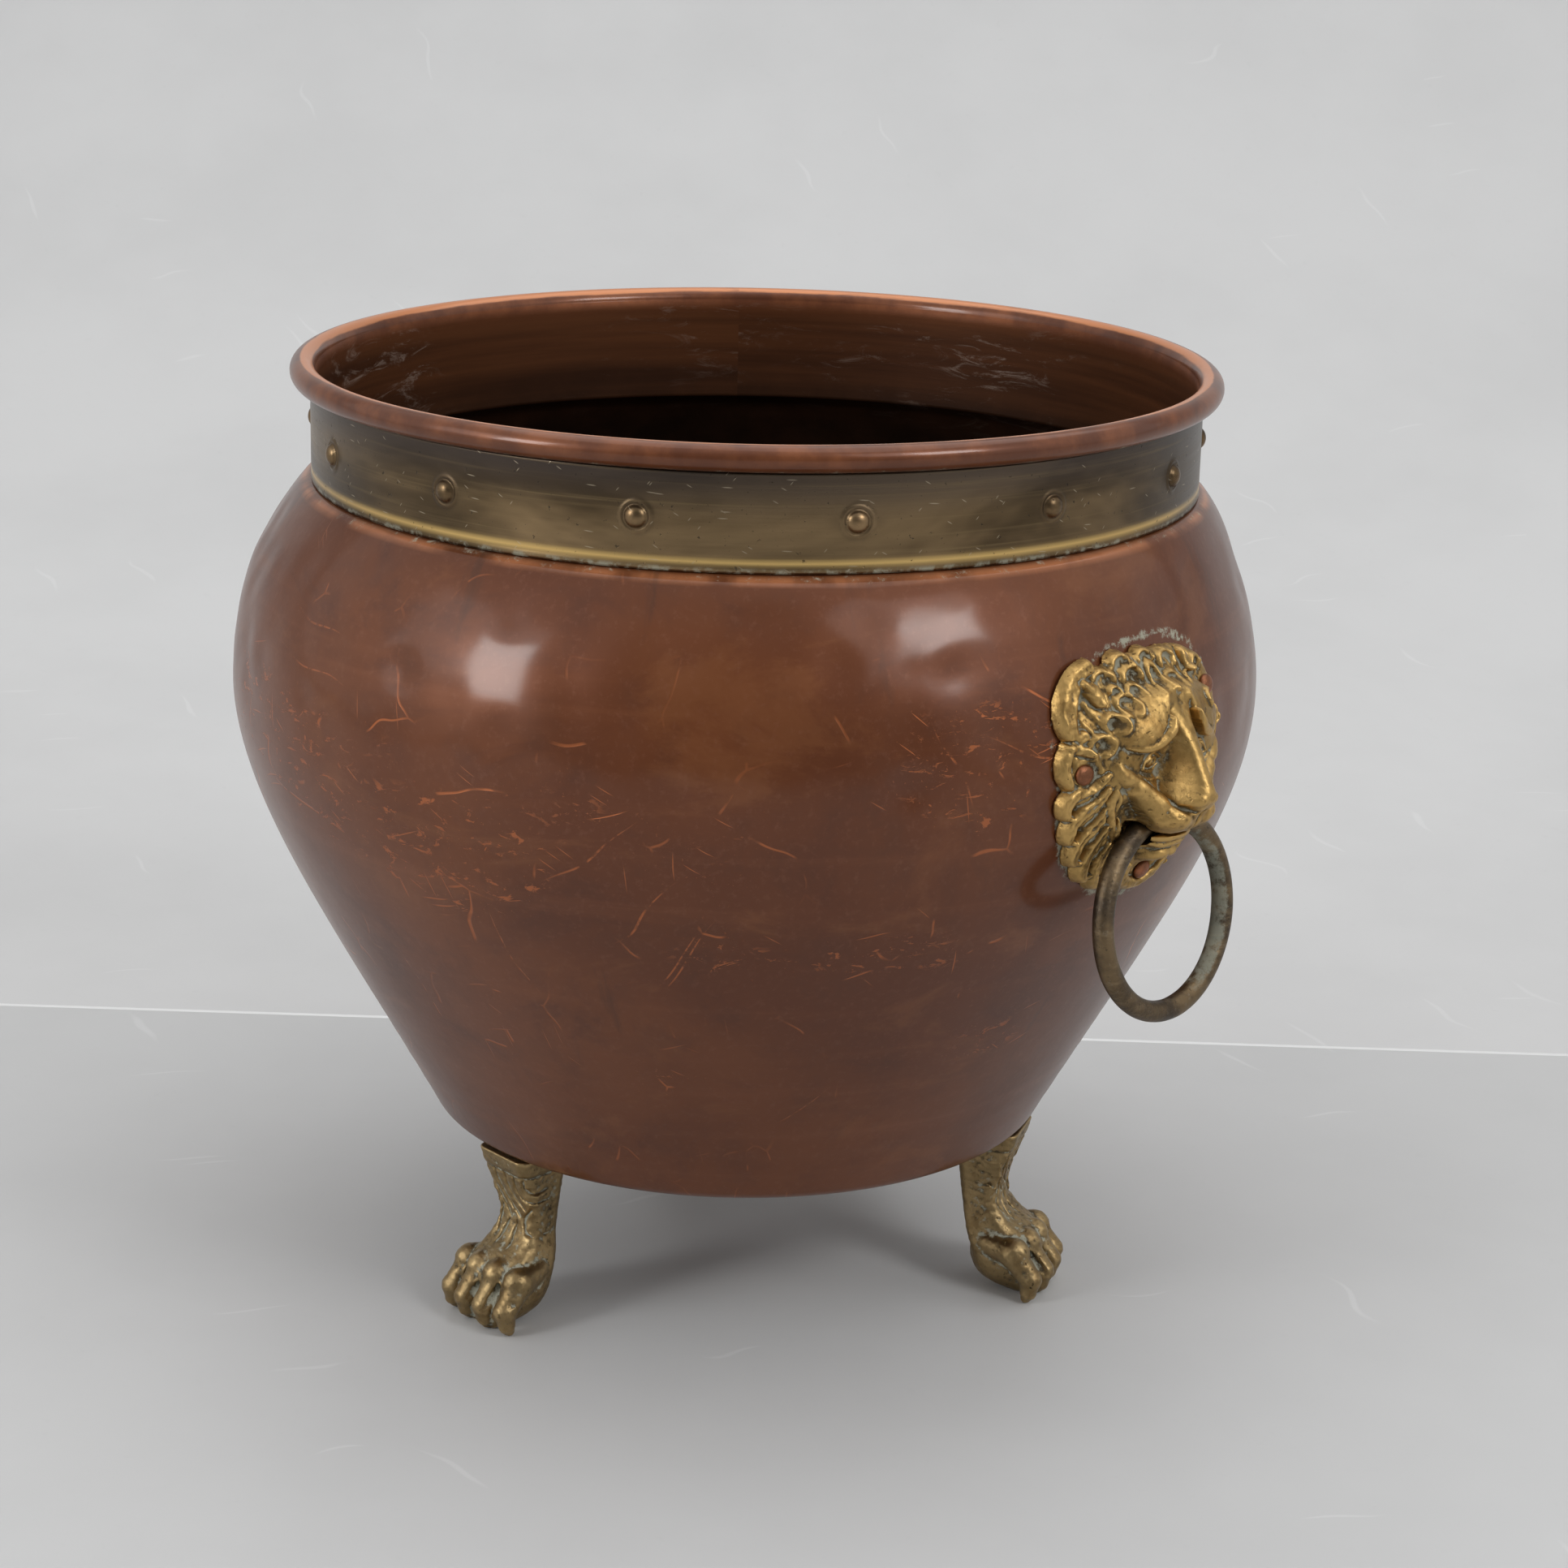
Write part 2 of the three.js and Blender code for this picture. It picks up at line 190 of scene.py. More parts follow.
def grow(field, low, high, step):
    """Points and faces round the space where field(x, y, z) is below 0, as surface nets."""
    low = np.array(low, float)
    axes = [np.arange(low[k], high[k] + step, step, dtype=np.float32) for k in range(3)]
    value = field(axes[0][:, None, None], axes[1][None, :, None], axes[2][None, None, :])
    value = value.astype(np.float32)
    value[np.abs(value) < 1e-5] = 1e-5
    inside = value < 0
    shape = np.array(inside.shape) - 1
    count = np.zeros(shape, np.int8)
    corners = [(i, j, k) for i in (0, 1) for j in (0, 1) for k in (0, 1)]
    for i, j, k in corners:
        count += inside[i:shape[0] + i, j:shape[1] + j, k:shape[2] + k]
    cells = np.argwhere((count > 0) & (count < 8))
    index = -np.ones(shape, np.int64)
    index[tuple(cells.T)] = np.arange(len(cells))
    total, crossings = np.zeros((len(cells), 3)), np.zeros(len(cells))
    for a in corners:
        for k in range(3):
            if a[k]:
                continue
            b = tuple(v + (n == k) for n, v in enumerate(a))
            va, vb = value[tuple((cells + a).T)], value[tuple((cells + b).T)]
            cut = (va < 0) != (vb < 0)
            share = (va / np.where(cut, va - vb, 1))[:, None]
            total[cut] += (np.array(a) + share * (np.array(b) - a))[cut]
            crossings[cut] += 1
    points = low + (cells + total / crossings[:, None]) * step
    faces = []
    for k in range(3):
        b, c = (k + 1) % 3, (k + 2) % 3
        here = [slice(None)] * 3
        there = [slice(None)] * 3
        here[k], there[k] = slice(0, -1), slice(1, None)
        edges = np.argwhere(inside[tuple(here)] != inside[tuple(there)])
        edges = edges[(edges[:, b] > 0) & (edges[:, c] > 0)
                      & (edges[:, b] < shape[b]) & (edges[:, c] < shape[c])]
        filled = inside[tuple(edges.T)]
        back_b, back_c = np.eye(3, dtype=int)[b], np.eye(3, dtype=int)[c]
        around = [edges - back_b - back_c, edges - back_c, edges, edges - back_b]
        quad = np.stack([index[tuple(a.T)] for a in around], axis=1)
        quad[~filled] = quad[~filled][:, ::-1]
        faces.append(quad)
    return points, np.vstack(faces)


def hollowness(points, faces, rounds):
    """How far each point lies below its smoothed neighbourhood, in mm: positive in a recess."""
    rounds = rounds
    pairs = np.vstack([faces[:, [k, (k + 1) % 4]] for k in range(4)])
    a, b = pairs[:, 0], pairs[:, 1]
    degree = np.bincount(a, minlength=len(points)) + np.bincount(b, minlength=len(points))
    corner = points[faces]
    face_normal = np.cross(corner[:, 2] - corner[:, 0], corner[:, 3] - corner[:, 1])
    normal = np.zeros_like(points)
    for k in range(4):
        for n in range(3):
            normal[:, n] += np.bincount(faces[:, k], face_normal[:, n], len(points))
    normal /= np.linalg.norm(normal, axis=1)[:, None] + 1e-9
    smooth = points.copy()
    for _ in range(rounds):
        sums = [np.bincount(a, smooth[b, n], len(points)) + np.bincount(b, smooth[a, n], len(points))
                for n in range(3)]
        mean = np.stack(sums, axis=1) / degree[:, None]
        smooth = 0.4 * smooth + 0.6 * mean
    return np.sum((smooth - points) * normal, axis=1)


# ------------------------------------------------------------------ distances for the cast pieces
def to_segment(x, y, a, b):
    """Distance from points to a segment, and the share of the way along it."""
    dx, dy = b[0] - a[0], b[1] - a[1]
    t = np.clip(((x - a[0]) * dx + (y - a[1]) * dy) / (dx * dx + dy * dy), 0, 1)
    return np.hypot(x - a[0] - t * dx, y - a[1] - t * dy), t


def stroke(x, y, points, count=6):
    """Distance to a smooth line through points that carry (x, y, width): distance over width."""
    line = spline(points, count)
    best = np.full(np.broadcast(x, y).shape, 9.0)
    for a, b in zip(line[:-1], line[1:]):
        distance, t = to_segment(x, y, a, b)
        best = np.minimum(best, distance / np.maximum(a[2] + t * (b[2] - a[2]), 0.05))
    return best


def inside_outline(x, y, outline):
    """Signed distance to a closed outline, negative inside."""
    best = np.full(np.broadcast(x, y).shape, 1e9)
    odd = np.zeros(best.shape, bool)
    for a, b in zip(outline, np.roll(outline, -1, axis=0)):
        distance, _ = to_segment(x, y, a, b)
        best = np.minimum(best, distance)
        if a[1] != b[1]:
            crosses = (a[1] > y) != (b[1] > y)
            odd ^= crosses & (x < (b[0] - a[0]) * (y - a[1]) / (b[1] - a[1]) + a[0])
    return np.where(odd, -best, best)


def ball(x, y, z, centre, half):
    k = np.sqrt(((x - centre[0]) / half[0]) ** 2 + ((y - centre[1]) / half[1]) ** 2
                + ((z - centre[2]) / half[2]) ** 2)
    return (k - 1) * min(half)


def capsule(x, y, z, a, b, radius_a, radius_b):
    d = np.array(b, float) - a
    t = np.clip(((x - a[0]) * d[0] + (y - a[1]) * d[1] + (z - a[2]) * d[2]) / (d @ d), 0, 1)
    away = np.sqrt((x - a[0] - t * d[0]) ** 2 + (y - a[1] - t * d[1]) ** 2 + (z - a[2] - t * d[2]) ** 2)
    return away - (radius_a + t * (radius_b - radius_a))


def grain(x, y, z, size, seed):
    """Smooth seeded lumps from -1 to 1, as a sum of waves of about one size."""
    random = np.random.default_rng(seed)
    total = 0.0
    for _ in range(12):
        way = random.normal(size=3)
        way *= 2 * math.pi / (size * random.uniform(0.7, 1.5) * np.linalg.norm(way))
        total = total + np.sin(x * way[0] + y * way[1] + z * way[2] + random.uniform(0, 6.3))
    return total / 4.0


# ------------------------------------------------------------------ copper pot
def sheet_wall(depth):
    """The body's wall line moved inwards by a depth."""
    along = np.gradient(WALL_LINE, axis=0)
    along /= np.linalg.norm(along, axis=1)[:, None]
    return WALL_LINE + depth * np.column_stack([-along[:, 1], along[:, 0]])


def body_profile(depth):
    edge = arc((BASE_FLAT, BASE_EDGE), BASE_EDGE - depth, -90, math.degrees(LEAN) - 90, 8)
    flat = np.column_stack([np.linspace(0.02, BASE_FLAT, 30)[:-1], np.full(29, depth)])
    return np.vstack([flat, edge, sheet_wall(depth)[1:]])


def pot_profile():
    """The sheet's closed outline, up the outside and down the inside, and where its inner face starts."""
    neck_top = RIM_UP - 0.4
    neck = np.column_stack([np.full(13, NECK_RADIUS), np.linspace(NECK_FOOT + 0.8, neck_top, 13)])
    ledge = spline([(SHOULDER[0] - 0.7, SHOULDER[1] + 0.5), (SHOULDER[0] - 2.4, NECK_FOOT - 0.2),
                    (NECK_RADIUS + 0.3, NECK_FOOT)], 3)
    inner_roll = arc((RIM_RADIUS, RIM_UP), BEAD - WALL, 180, RIM_END, 22)
    outer_roll = arc((RIM_RADIUS, RIM_UP), BEAD, RIM_END, 180, 30)
    inner_ledge = spline([(NECK_RADIUS - WALL, NECK_FOOT), (SHOULDER[0] - 3.4, NECK_FOOT - 1.2),
                          (SHOULDER[0] - 1.5, SHOULDER[1] - 0.8)], 3)
    outside = np.vstack([body_profile(0), ledge, neck, inner_roll, outer_roll])
    inside = np.vstack([neck[::-1] - (WALL, 0), inner_ledge, body_profile(WALL)[::-1][1:]])
    return np.vstack([outside, inside]), len(outside) - 1


def angle_from(angle, at):
    return (angle - at + math.pi) % (2 * math.pi) - math.pi


def hammered(angle, up, radius):
    """How far the sheet is beaten in: hammer marks above, soft planishing rings low down."""
    def dimple(at, height, size):
        return np.exp(-(angle_from(angle, at) * radius / size) ** 2 - ((up - height) / size) ** 2)

    dent = np.zeros(angle.shape)
    for _ in range(420):
        at, height = rng.uniform(0, 2 * math.pi), rng.uniform(20, 210)
        size, depth = rng.uniform(6, 15), rng.uniform(0.04, 0.13)
        dent += depth * (0.4 + 1.9 * smooth_step(height, 110, 180)) * dimple(at, height, size)
    for _ in range(240):
        at, height = rng.uniform(0, 2 * math.pi), rng.uniform(148, 211)
        size, depth = rng.uniform(4.5, 9.0), rng.uniform(0.12, 0.5)
        dent += depth * dimple(at, height, size)
    dent += 0.09 * (1 + np.sin(up / 0.75 + 0.8 * np.sin(angle * 3))) * smooth_step(-up, -60, -12)
    return dent * smooth_step(up, 2, 12) * smooth_step(-up, -212, -204)


def residue_round_masks(angle, up, radius):
    """Residue along the edge of each mask, most of it at its low corner."""
    residue = np.zeros(angle.shape)
    for turn in SIDES.values():
        apart = angle_from(angle, turn)
        across = np.sin(apart) * radius
        edge = np.where(np.abs(apart) < 0.6, inside_outline(across, up, MASK_OUTLINE), 60)
        low_corner = np.exp(-((across + 34) ** 2 + (up - 127) ** 2) / 260)
        residue += (0.56 + 0.5 * low_corner) * np.exp(-((edge - 1.8) / (2.3 + 3.2 * low_corner)) ** 2)
    return residue


# Where the patina is rubbed through: degrees round the pot, up, half width in degrees, half height, share.
WORN_PATCHES = [
    (-106, 150, 14, 16, 0.8), (-88, 128, 12, 12, 0.9), (-78, 122, 9, 16, 0.9), (-62, 140, 16, 22, 0.35),
    (-40, 100, 16, 10, 0.5), (-62, 52, 12, 10, 0.35), (-22, 160, 10, 26, 0.5), (-13, 60, 8, 12, 0.5),
    (60, 120, 30, 30, 0.4), (140, 140, 40, 30, 0.5), (200, 110, 30, 30, 0.4),
]


def wear_map(angle, up):
    wear = np.full(angle.shape, 0.25)
    for degrees, height, wide, high, share in WORN_PATCHES:
        apart = (np.degrees(angle) - degrees + 180) % 360 - 180
        wear += share * np.exp(-(apart / wide) ** 2 - ((up - height) / high) ** 2)
    return np.clip(wear, 0, 1)


def pot_shell():
    profile, first_inner = pot_profile()
    angles = np.radians(np.arange(0, 360, 0.8))
    points = turned(profile, angles)
    angle = np.broadcast_to(angles, points.shape[:2])
    radius = np.broadcast_to(profile[:, 0][:, None], angle.shape)
    up = np.broadcast_to(profile[:, 1][:, None], angle.shape)
    shrink = 1 - hammered(angle, up, radius) / np.maximum(radius, 1)
    points[..., 0] *= shrink
    points[..., 1] *= shrink
    points[..., 2] += FOOT_HEIGHT
    points = shift_neck(points)
    inner = 0.0 + np.broadcast_to(np.arange(len(profile))[:, None] >= first_inner, angle.shape)
    under_band = np.exp(-((up - NECK_FOOT + 0.6) / 2.2) ** 2) + np.exp(-((up - 246.2) / 1.6) ** 2)
    residue = residue_round_masks(angle, up, radius) + 0.36 * under_band * (1 - inner)
    residue += 0.15 * smooth_step(-up, -14, 1)
    thing = make_mesh("pot_body", points.reshape(-1, 3), loft(points, True), {
        "rim": smooth_step(up, RIM_UP - BEAD - 2, RIM_UP + 1),
        "crest": smooth_step(up, RIM_UP + 1.2, RIM_UP + 3.6) * smooth_step(-radius, -149.8, -147.4),
        "ledge": np.exp(-((up - SHOULDER[1] - 0.6) / 0.8) ** 2) * (1 - inner),
        # Painted shade: darker towards the bottom inside the pot.
        "inner": inner, "deep_shade": inner * smooth_step(-up, -238, -198),
        "residue": np.clip(residue, 0, 1), "wear": wear_map(angle, up)})
    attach(thing, "pot")
    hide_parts("pot_shell")
    return thing


def rim_wire():
    angles = np.radians(np.arange(0, 360, 2.5))
    points = shift_neck(turned(arc((RIM_RADIUS, RIM_UP + FOOT_HEIGHT), WIRE_RADIUS, 0, 345, 23), angles))
    thing = make_mesh("rim_wire_rod", points.reshape(-1, 3), loft(points, True))
    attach(thing, "pot")
    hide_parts("rim_wire")
    return thing


# ------------------------------------------------------------------ neck band
def band_angles(pitch):
    """Directions round the band, close together at each stud and at the seam."""
    near = np.radians(np.linspace(-2.3, 2.3, 31))
    far = np.radians(np.linspace(2.3, pitch - 2.3, 17)[1:-1])
    studs = [math.radians(STUDS["first"] + pitch * k) + np.append(near, far)
             for k in range(STUDS["count"])]
    seam = np.array([-0.5, -0.2, -0.12, -0.05, 0, 0.05, 0.12, 0.2, 0.5]) + BAND["seam"]
    return np.sort(np.concatenate([*studs, np.radians(seam)]))


def neck_band():
    pitch = 360 / STUDS["count"]
    rise_rows = np.linspace(STUDS["up"] - 5.4, STUDS["up"] + 5.4, 31)
    rows = np.concatenate([np.linspace(BAND["bottom"], rise_rows[0], 14)[:-1], rise_rows,
                           np.linspace(rise_rows[-1], BAND["top"], 12)[1:]])
    angle, up = np.meshgrid(band_angles(pitch), rows)
    step = math.radians(pitch)
    apart = (angle - math.radians(STUDS["first"]) + step / 2) % step - step / 2
    away = np.hypot(apart * BAND["inner"], up - STUDS["up"])
    rise = STUDS["rise"] * np.sqrt(np.clip(1 - (away / STUDS["dome"]) ** 2, 0, 1)) ** 1.1
    rise = soft_max(rise, 0.42 * np.exp(-((away - STUDS["skirt"] + 0.2) / 0.7) ** 2), 0.25)
    rise += 0.18 * np.exp(-((up - BAND["bottom"] - 1.1) / 0.55) ** 2)
    rise -= 0.10 * np.exp(-((up - BAND["bottom"] - 2.3) / 0.5) ** 2)
    seam = np.exp(-((np.degrees(angle) - BAND["seam"]) / 0.1) ** 2)
    outer = BAND["inner"] + BAND["thick"] + rise - 0.45 * seam
    sheets = [np.stack([radius * np.cos(angle), radius * np.sin(angle), up + FOOT_HEIGHT], axis=2)
              for radius in (outer, outer - BAND["thick"])]
    points = shift_neck(np.vstack([sheets[0], sheets[1][::-1]]))
    dirt = np.exp(-((away - 3.9) / 0.6) ** 2) + 0.6 * np.exp(-((away - 5.4) / 0.7) ** 2) + seam
    fields = {"dome": np.exp(-(away / 4.6) ** 4), "dirt": dirt,
              # A painted highlight: a bright gold strip just above the band's lower edge, standing in for a
              # reflection.
              "glint_strip": np.exp(-((up - BAND["bottom"] - 3.2) / 1.0) ** 2),
              "height": (up - BAND["bottom"]) / (BAND["top"] - BAND["bottom"])}
    both_faces = {key: np.vstack([value, value[::-1]]) for key, value in fields.items()}
    thing = make_mesh("neck_band_sheet", points.reshape(-1, 3), loft(points, True), both_faces)
    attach(thing, "pot")
    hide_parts("neck_band")
    return thing


# ------------------------------------------------------------------ lion mask
MASK_OUTLINE = spline([
    (0, 188), (12, 187.5), (22, 184.5), (30, 177), (33.5, 166), (33.5, 154), (31, 140), (24, 125.5),
    (15, 115), (6, 110.5), (0, 110), (-6, 110.5), (-16, 115), (-26, 125), (-34.5, 140),
    (-38.5, 154), (-39, 167), (-35.5, 177.5), (-25, 184.5), (-13, 187.5)], 5, closed=True)
# The lion's profile down its middle, and the half width of the nose and forehead: up, then value.
NOSE_LINE = np.array([
    (109.5, 3.6), (119.5, 4.4), (122, 7.4), (124, 10), (126, 11.3), (127.6, 10.9), (128.6, 13.0),
    (129.6, 13.2), (130.2, 12.3), (131.0, 13.9), (132.2, 13.9), (133.0, 12.4), (134.2, 16.2),
    (136.5, 18.3), (139.5, 19.2), (141, 20.2), (142.5, 21.6), (145, 22.9), (147.5, 22.6),
    (152, 20.6), (156, 18.7), (162, 16.0), (168, 13.0), (173, 11.0), (178, 9.2), (184, 6.6), (190, 4.2)])
NOSE_WIDTH = np.array([(110, 8), (118, 8), (124, 9), (128, 10.5), (132, 11.0), (136, 12.6), (139.5, 12.6),
                       (142, 10.4), (146, 8.8), (150, 6.6), (156, 5.8), (162, 5.9), (168, 8), (174, 13),
                       (180, 20), (190, 30)])
# Curls of the mane: across, up, radius across, radius up, how far round they close (degrees), pit.
CURLS = [
    (-14.5, 185.4, 5.0, 3.6, 110, 1.0), (-3.6, 185.4, 4.2, 3.4, 110, 1.0), (6.0, 183.6, 4.6, 3.8, 125, 1.1),
    (-23.5, 181.8, 5.2, 3.8, 105, 1.0), (-11.8, 181.2, 5.0, 4.2, 105, 1.3), (-2.8, 179.8, 2.9, 5.4, 120, 1.0),
    (4.6, 177.6, 4.8, 3.7, 110, 1.2), (-13.6, 177.2, 3.8, 3.0, 105, 0.9), (-20.6, 178.0, 2.6, 2.2, 100, 0.6),
    (-18.4, 174.4, 4.3, 3.6, 165, 1.3), (-24.4, 169.6, 4.1, 3.5, 160, 1.5),
    (-28.8, 163.2, 4.7, 4.2, 160, 1.9),
    (15.5, 177.4, 4.2, 3.4, 110, 1.0), (21.5, 180.0, 4.0, 3.2, 110, 1.0), (19.0, 171.2, 3.4, 3.0, 150, 1.0),
    (26.2, 162.6, 3.4, 3.6, 160, 1.2),
]
# Locks: smooth lines of (across, up, half width), with a rise and how far they are dished.
LOCKS = [
    ([(-27.6, 186.2, 2.4), (-32.6, 183.8, 3.4), (-36.4, 178.8, 3.8), (-38.2, 172.8, 3.6), (-38.0, 168.2, 2.8),
      (-35.9, 165.8, 2.0), (-33.8, 166.8, 1.7)], 1.9, 0.5),
    ([(-31.6, 181.8, 1.3), (-30.4, 180.8, 2.0), (-28.2, 178.6, 2.8), (-27.4, 176.2, 2.0)], 3.4, 0.0),
    ([(13.8, 184.8, 1.5), (14.8, 182.2, 2.4), (15.2, 180.0, 1.9)], 3.0, 0.0),
    ([(-38.9, 163.8, 1.5), (-35.8, 162.9, 1.8), (-32.2, 161.2, 1.3)], 2.0, 0.0),
    ([(-37.6, 164.4, 1.2), (-39.8, 160.6, 2.1), (-39.9, 155.6, 2.3), (-38.4, 151.6, 1.6)], 1.8, 0.4),
    ([(-26.4, 154.2, 0.9), (-30.6, 150.9, 1.8), (-35.4, 149.6, 2.5), (-39.0, 146.6, 2.5), (-39.2, 142.8, 1.7),
      (-37.0, 141.4, 1.0)], 2.3, 0.7),
    ([(-26.2, 149.8, 0.9), (-29.4, 145.4, 1.8), (-33.6, 142.2, 2.5), (-36.6, 138.4, 2.6), (-36.6, 134.4, 1.8),
      (-34.6, 133.2, 1.0)], 2.4, 0.7),
    ([(-25.6, 143.4, 0.9), (-27.6, 138.8, 1.8), (-30.8, 134.8, 2.5), (-33.2, 130.6, 2.6), (-32.6, 126.6, 1.8),
      (-30.4, 125.8, 1.0)], 2.5, 0.7),
    ([(-23.8, 137.0, 0.9), (-25.2, 132.6, 1.7), (-27.2, 128.0, 2.4), (-28.2, 123.6, 2.5), (-26.4, 119.8, 1.7),
      (-24.2, 120.2, 1.0)], 2.5, 0.7),
    ([(-20.6, 130.6, 0.9), (-21.8, 126.4, 1.6), (-22.4, 121.8, 2.2), (-20.8, 117.4, 2.3), (-17.8, 115.8, 1.6),
      (-16.4, 117.4, 1.0)], 2.4, 0.6),
    ([(-15.6, 126.4, 0.8), (-16.2, 122.0, 1.4), (-14.6, 117.4, 1.9), (-11.4, 114.8, 1.7)], 2.1, 0.4),
    ([(-23.6, 150.4, 0.7), (-24.8, 145.0, 1.2), (-23.0, 138.6, 1.3), (-20.6, 133.4, 0.8)], 2.0, 0.0),
    ([(-20.8, 139.4, 0.6), (-19.6, 133.6, 1.1), (-17.2, 128.4, 1.1), (-13.6, 124.6, 0.7)], 1.9, 0.0),
    ([(-10.6, 121.6, 1.5), (-8.6, 116.0, 2.3), (-3.6, 113.4, 2.6), (1.8, 113.2, 2.6), (6.6, 115.2, 2.3),
      (9.0, 120.0, 1.5)], 2.6, 0.2),
]
# Lower edge of the brow: across against up, ending in the upturned tip beside the bridge.
BROW_EDGE = np.array([(5.4, 171.5), (6.0, 168.8), (7.4, 165.6), (9.4, 163.2), (12.0, 161.6), (15.0, 160.8),
                      (18.6, 160.8), (23.0, 162.0), (27.0, 164.5)])


def mirrored(locks):
    """The same locks on the side turned away, kept inside the narrower outline there."""
    made = []
    for line, rise, dish in locks[3:]:
        if max(p[0] for p in line) < -12:
            made.append(([(-0.84 * p[0], p[1] - 0.4, 0.9 * p[2]) for p in line], rise, dish))
    return made


def reach_squared(x, y, centre, half, turn):
    """Squared distance from the middle of a turned ellipse, 1 on its edge."""
    c, s = math.cos(turn), math.sin(turn)
    a = ((x - centre[0]) * c + (y - centre[1]) * s) / half[0]
    b = ((y - centre[1]) * c - (x - centre[0]) * s) / half[1]
    return a * a + b * b


def dome(x, y, centre, half, turn=0.0, sharp=0.5):
    """A rounded swelling from 1 in its middle to 0 at its edge."""
    return np.clip(1 - reach_squared(x, y, centre, half, turn), 0, 1) ** sharp


def hill(x, y, centre, half, turn=0.0):
    return np.exp(-reach_squared(x, y, centre, half, turn))


def crest(u, z, points, drop):
    """Height of a rounded ridge along (across, up, half width, top); very low away from it."""
    line = spline(points, 12)
    best = np.full(u.shape, -50.0)
    for a, b in zip(line[:-1], line[1:]):
        distance, t = to_segment(u, z, a, b)
        near = distance / (a[2] + t * (b[2] - a[2]))
        top = a[3] + t * (b[3] - a[3])
        height = np.where(near < 1, top - drop * (1 - np.sqrt(np.clip(1 - near**2, 0, 1))), -50.0)
        best = np.maximum(best, height)
    return best


def mane_relief(u, z, edge):
    """Rise of the hair above the wall, and the outline with the locks' tips added."""
    rise = 2.9 + 2.7 * smooth_step(-edge, 1, 15)
    rise = rise + 0.20 * grain(u, z, 0.0, 6.0, 11) + 0.12 * grain(u, z, 0.0, 2.4, 12)
    base = np.minimum(rise, 5.2) - 0.5
    for locks, widens in ((LOCKS, True), (mirrored(LOCKS), False)):
        for line, height, dish in locks:
            near = stroke(u, z, line, 10)
            body = (np.clip(1 - near**2.6, 0, 1)) ** 0.5 - 0.45 * dish * np.exp(-(near / 0.42) ** 2)
            rise = np.where(near < 1.9, rise - 0.5 * np.exp(-((near - 1.15) / 0.3) ** 2), rise)
            rise = np.where(near < 1, np.maximum(rise, base + height * body), rise)
            if widens:
                edge = np.minimum(edge, (near - 1.0) * max(p[2] for p in line))
    # The hollow inside the outer ear, and the dark recesses beside it.
    rise -= 1.6 * hill(u, z, (-31.8, 174.0), (1.7, 4.2), 0.2)
    rise -= 1.5 * hill(u, z, (-33.8, 170.6), (1.2, 1.8))
    rise -= 1.8 * hill(u, z, (22.0, 173.6), (3.2, 4.6), 0.3)
    # Strands and pits all over the hair.
    strands = np.sin(2.6 * u + 1.4 * z + 1.9 * np.sin(z * 0.33 + u * 0.2))
    rise += 0.10 * strands * smooth_step(-edge, 2, 5) + 0.10 * grain(u, z, 0.0, 1.3, 14)
    return rise, edge


def brows_and_eyes(face, near_side, z):
    # Eye hollow between the nose, the brow and the cheek.
    face -= 3.2 * hill(near_side, z, (10.4, 155.4), (5.0, 4.2), -0.35)
    face -= 2.2 * hill(near_side, z, (7.6, 152.0), (2.0, 4.2), 0.2)
    # Brow: a smooth mound that grows towards its lower edge, then drops away.
    above = z - np.interp(near_side, BROW_EDGE[:, 0], BROW_EDGE[:, 1])
    crown = np.interp(near_side, (3, 6, 9, 12, 15, 18, 21, 24, 27),
                      (10.6, 11.9, 12.5, 12.5, 12.0, 11.0, 9.5, 7.6, 5.6))
    plate = crown - 0.034 * np.maximum(above - 3, 0) ** 2 - 0.28 * np.maximum(3.4 - above, 0) ** 1.7
    plate = 3.0 + (plate - 3.0) * smooth_step(above, -2.2, 0.8)
    face = soft_max(face, plate, 2.0)
    brow_line = crest(near_side, z, [
        (21.0, 162.4, 1.0, 8.6), (17.0, 161.8, 1.5, 11.0), (13.0, 162.2, 1.8, 12.6),
        (9.6, 164.2, 1.8, 13.8), (7.4, 166.8, 1.5, 14.9), (6.4, 170.0, 0.7, 14.6)], 1.6)
    face = soft_max(face, brow_line, 0.7)
    face -= 1.0 * hill(near_side, z, (4.7, 167.2), (1.0, 3.2), -0.2)
    # The furrow of the forehead, and the eye between its lids.
    face -= 0.5 * hill(near_side, z, (0, 175), (1.6, 6.0))
    face += 2.0 * dome(near_side, z, (11.4, 156.4), (3.1, 2.1), 0.15, 0.6)
    lids = [([(15.8, 155.0, 0.5), (13.8, 157.8, 0.75), (11.0, 159.0, 0.75), (7.6, 157.2, 0.5)], 0.95),
            ([(15.6, 154.6, 0.45), (12.4, 153.6, 0.65), (9.6, 153.5, 0.65), (7.4, 154.8, 0.4)], 0.75),
            ([(17.6, 153.6, 0.4), (14.0, 151.6, 0.6), (10.4, 151.0, 0.5)], 0.5)]
    for line, height in lids:
        face += height * np.clip(1 - stroke(near_side, z, line) ** 2, 0, 1)
    pupil = np.hypot(near_side - 11.2, z - 156.5)
    face += 0.35 * np.exp(-((pupil - 1.25) / 0.32) ** 2) - 0.8 * np.exp(-(pupil / 0.55) ** 2)
    return face


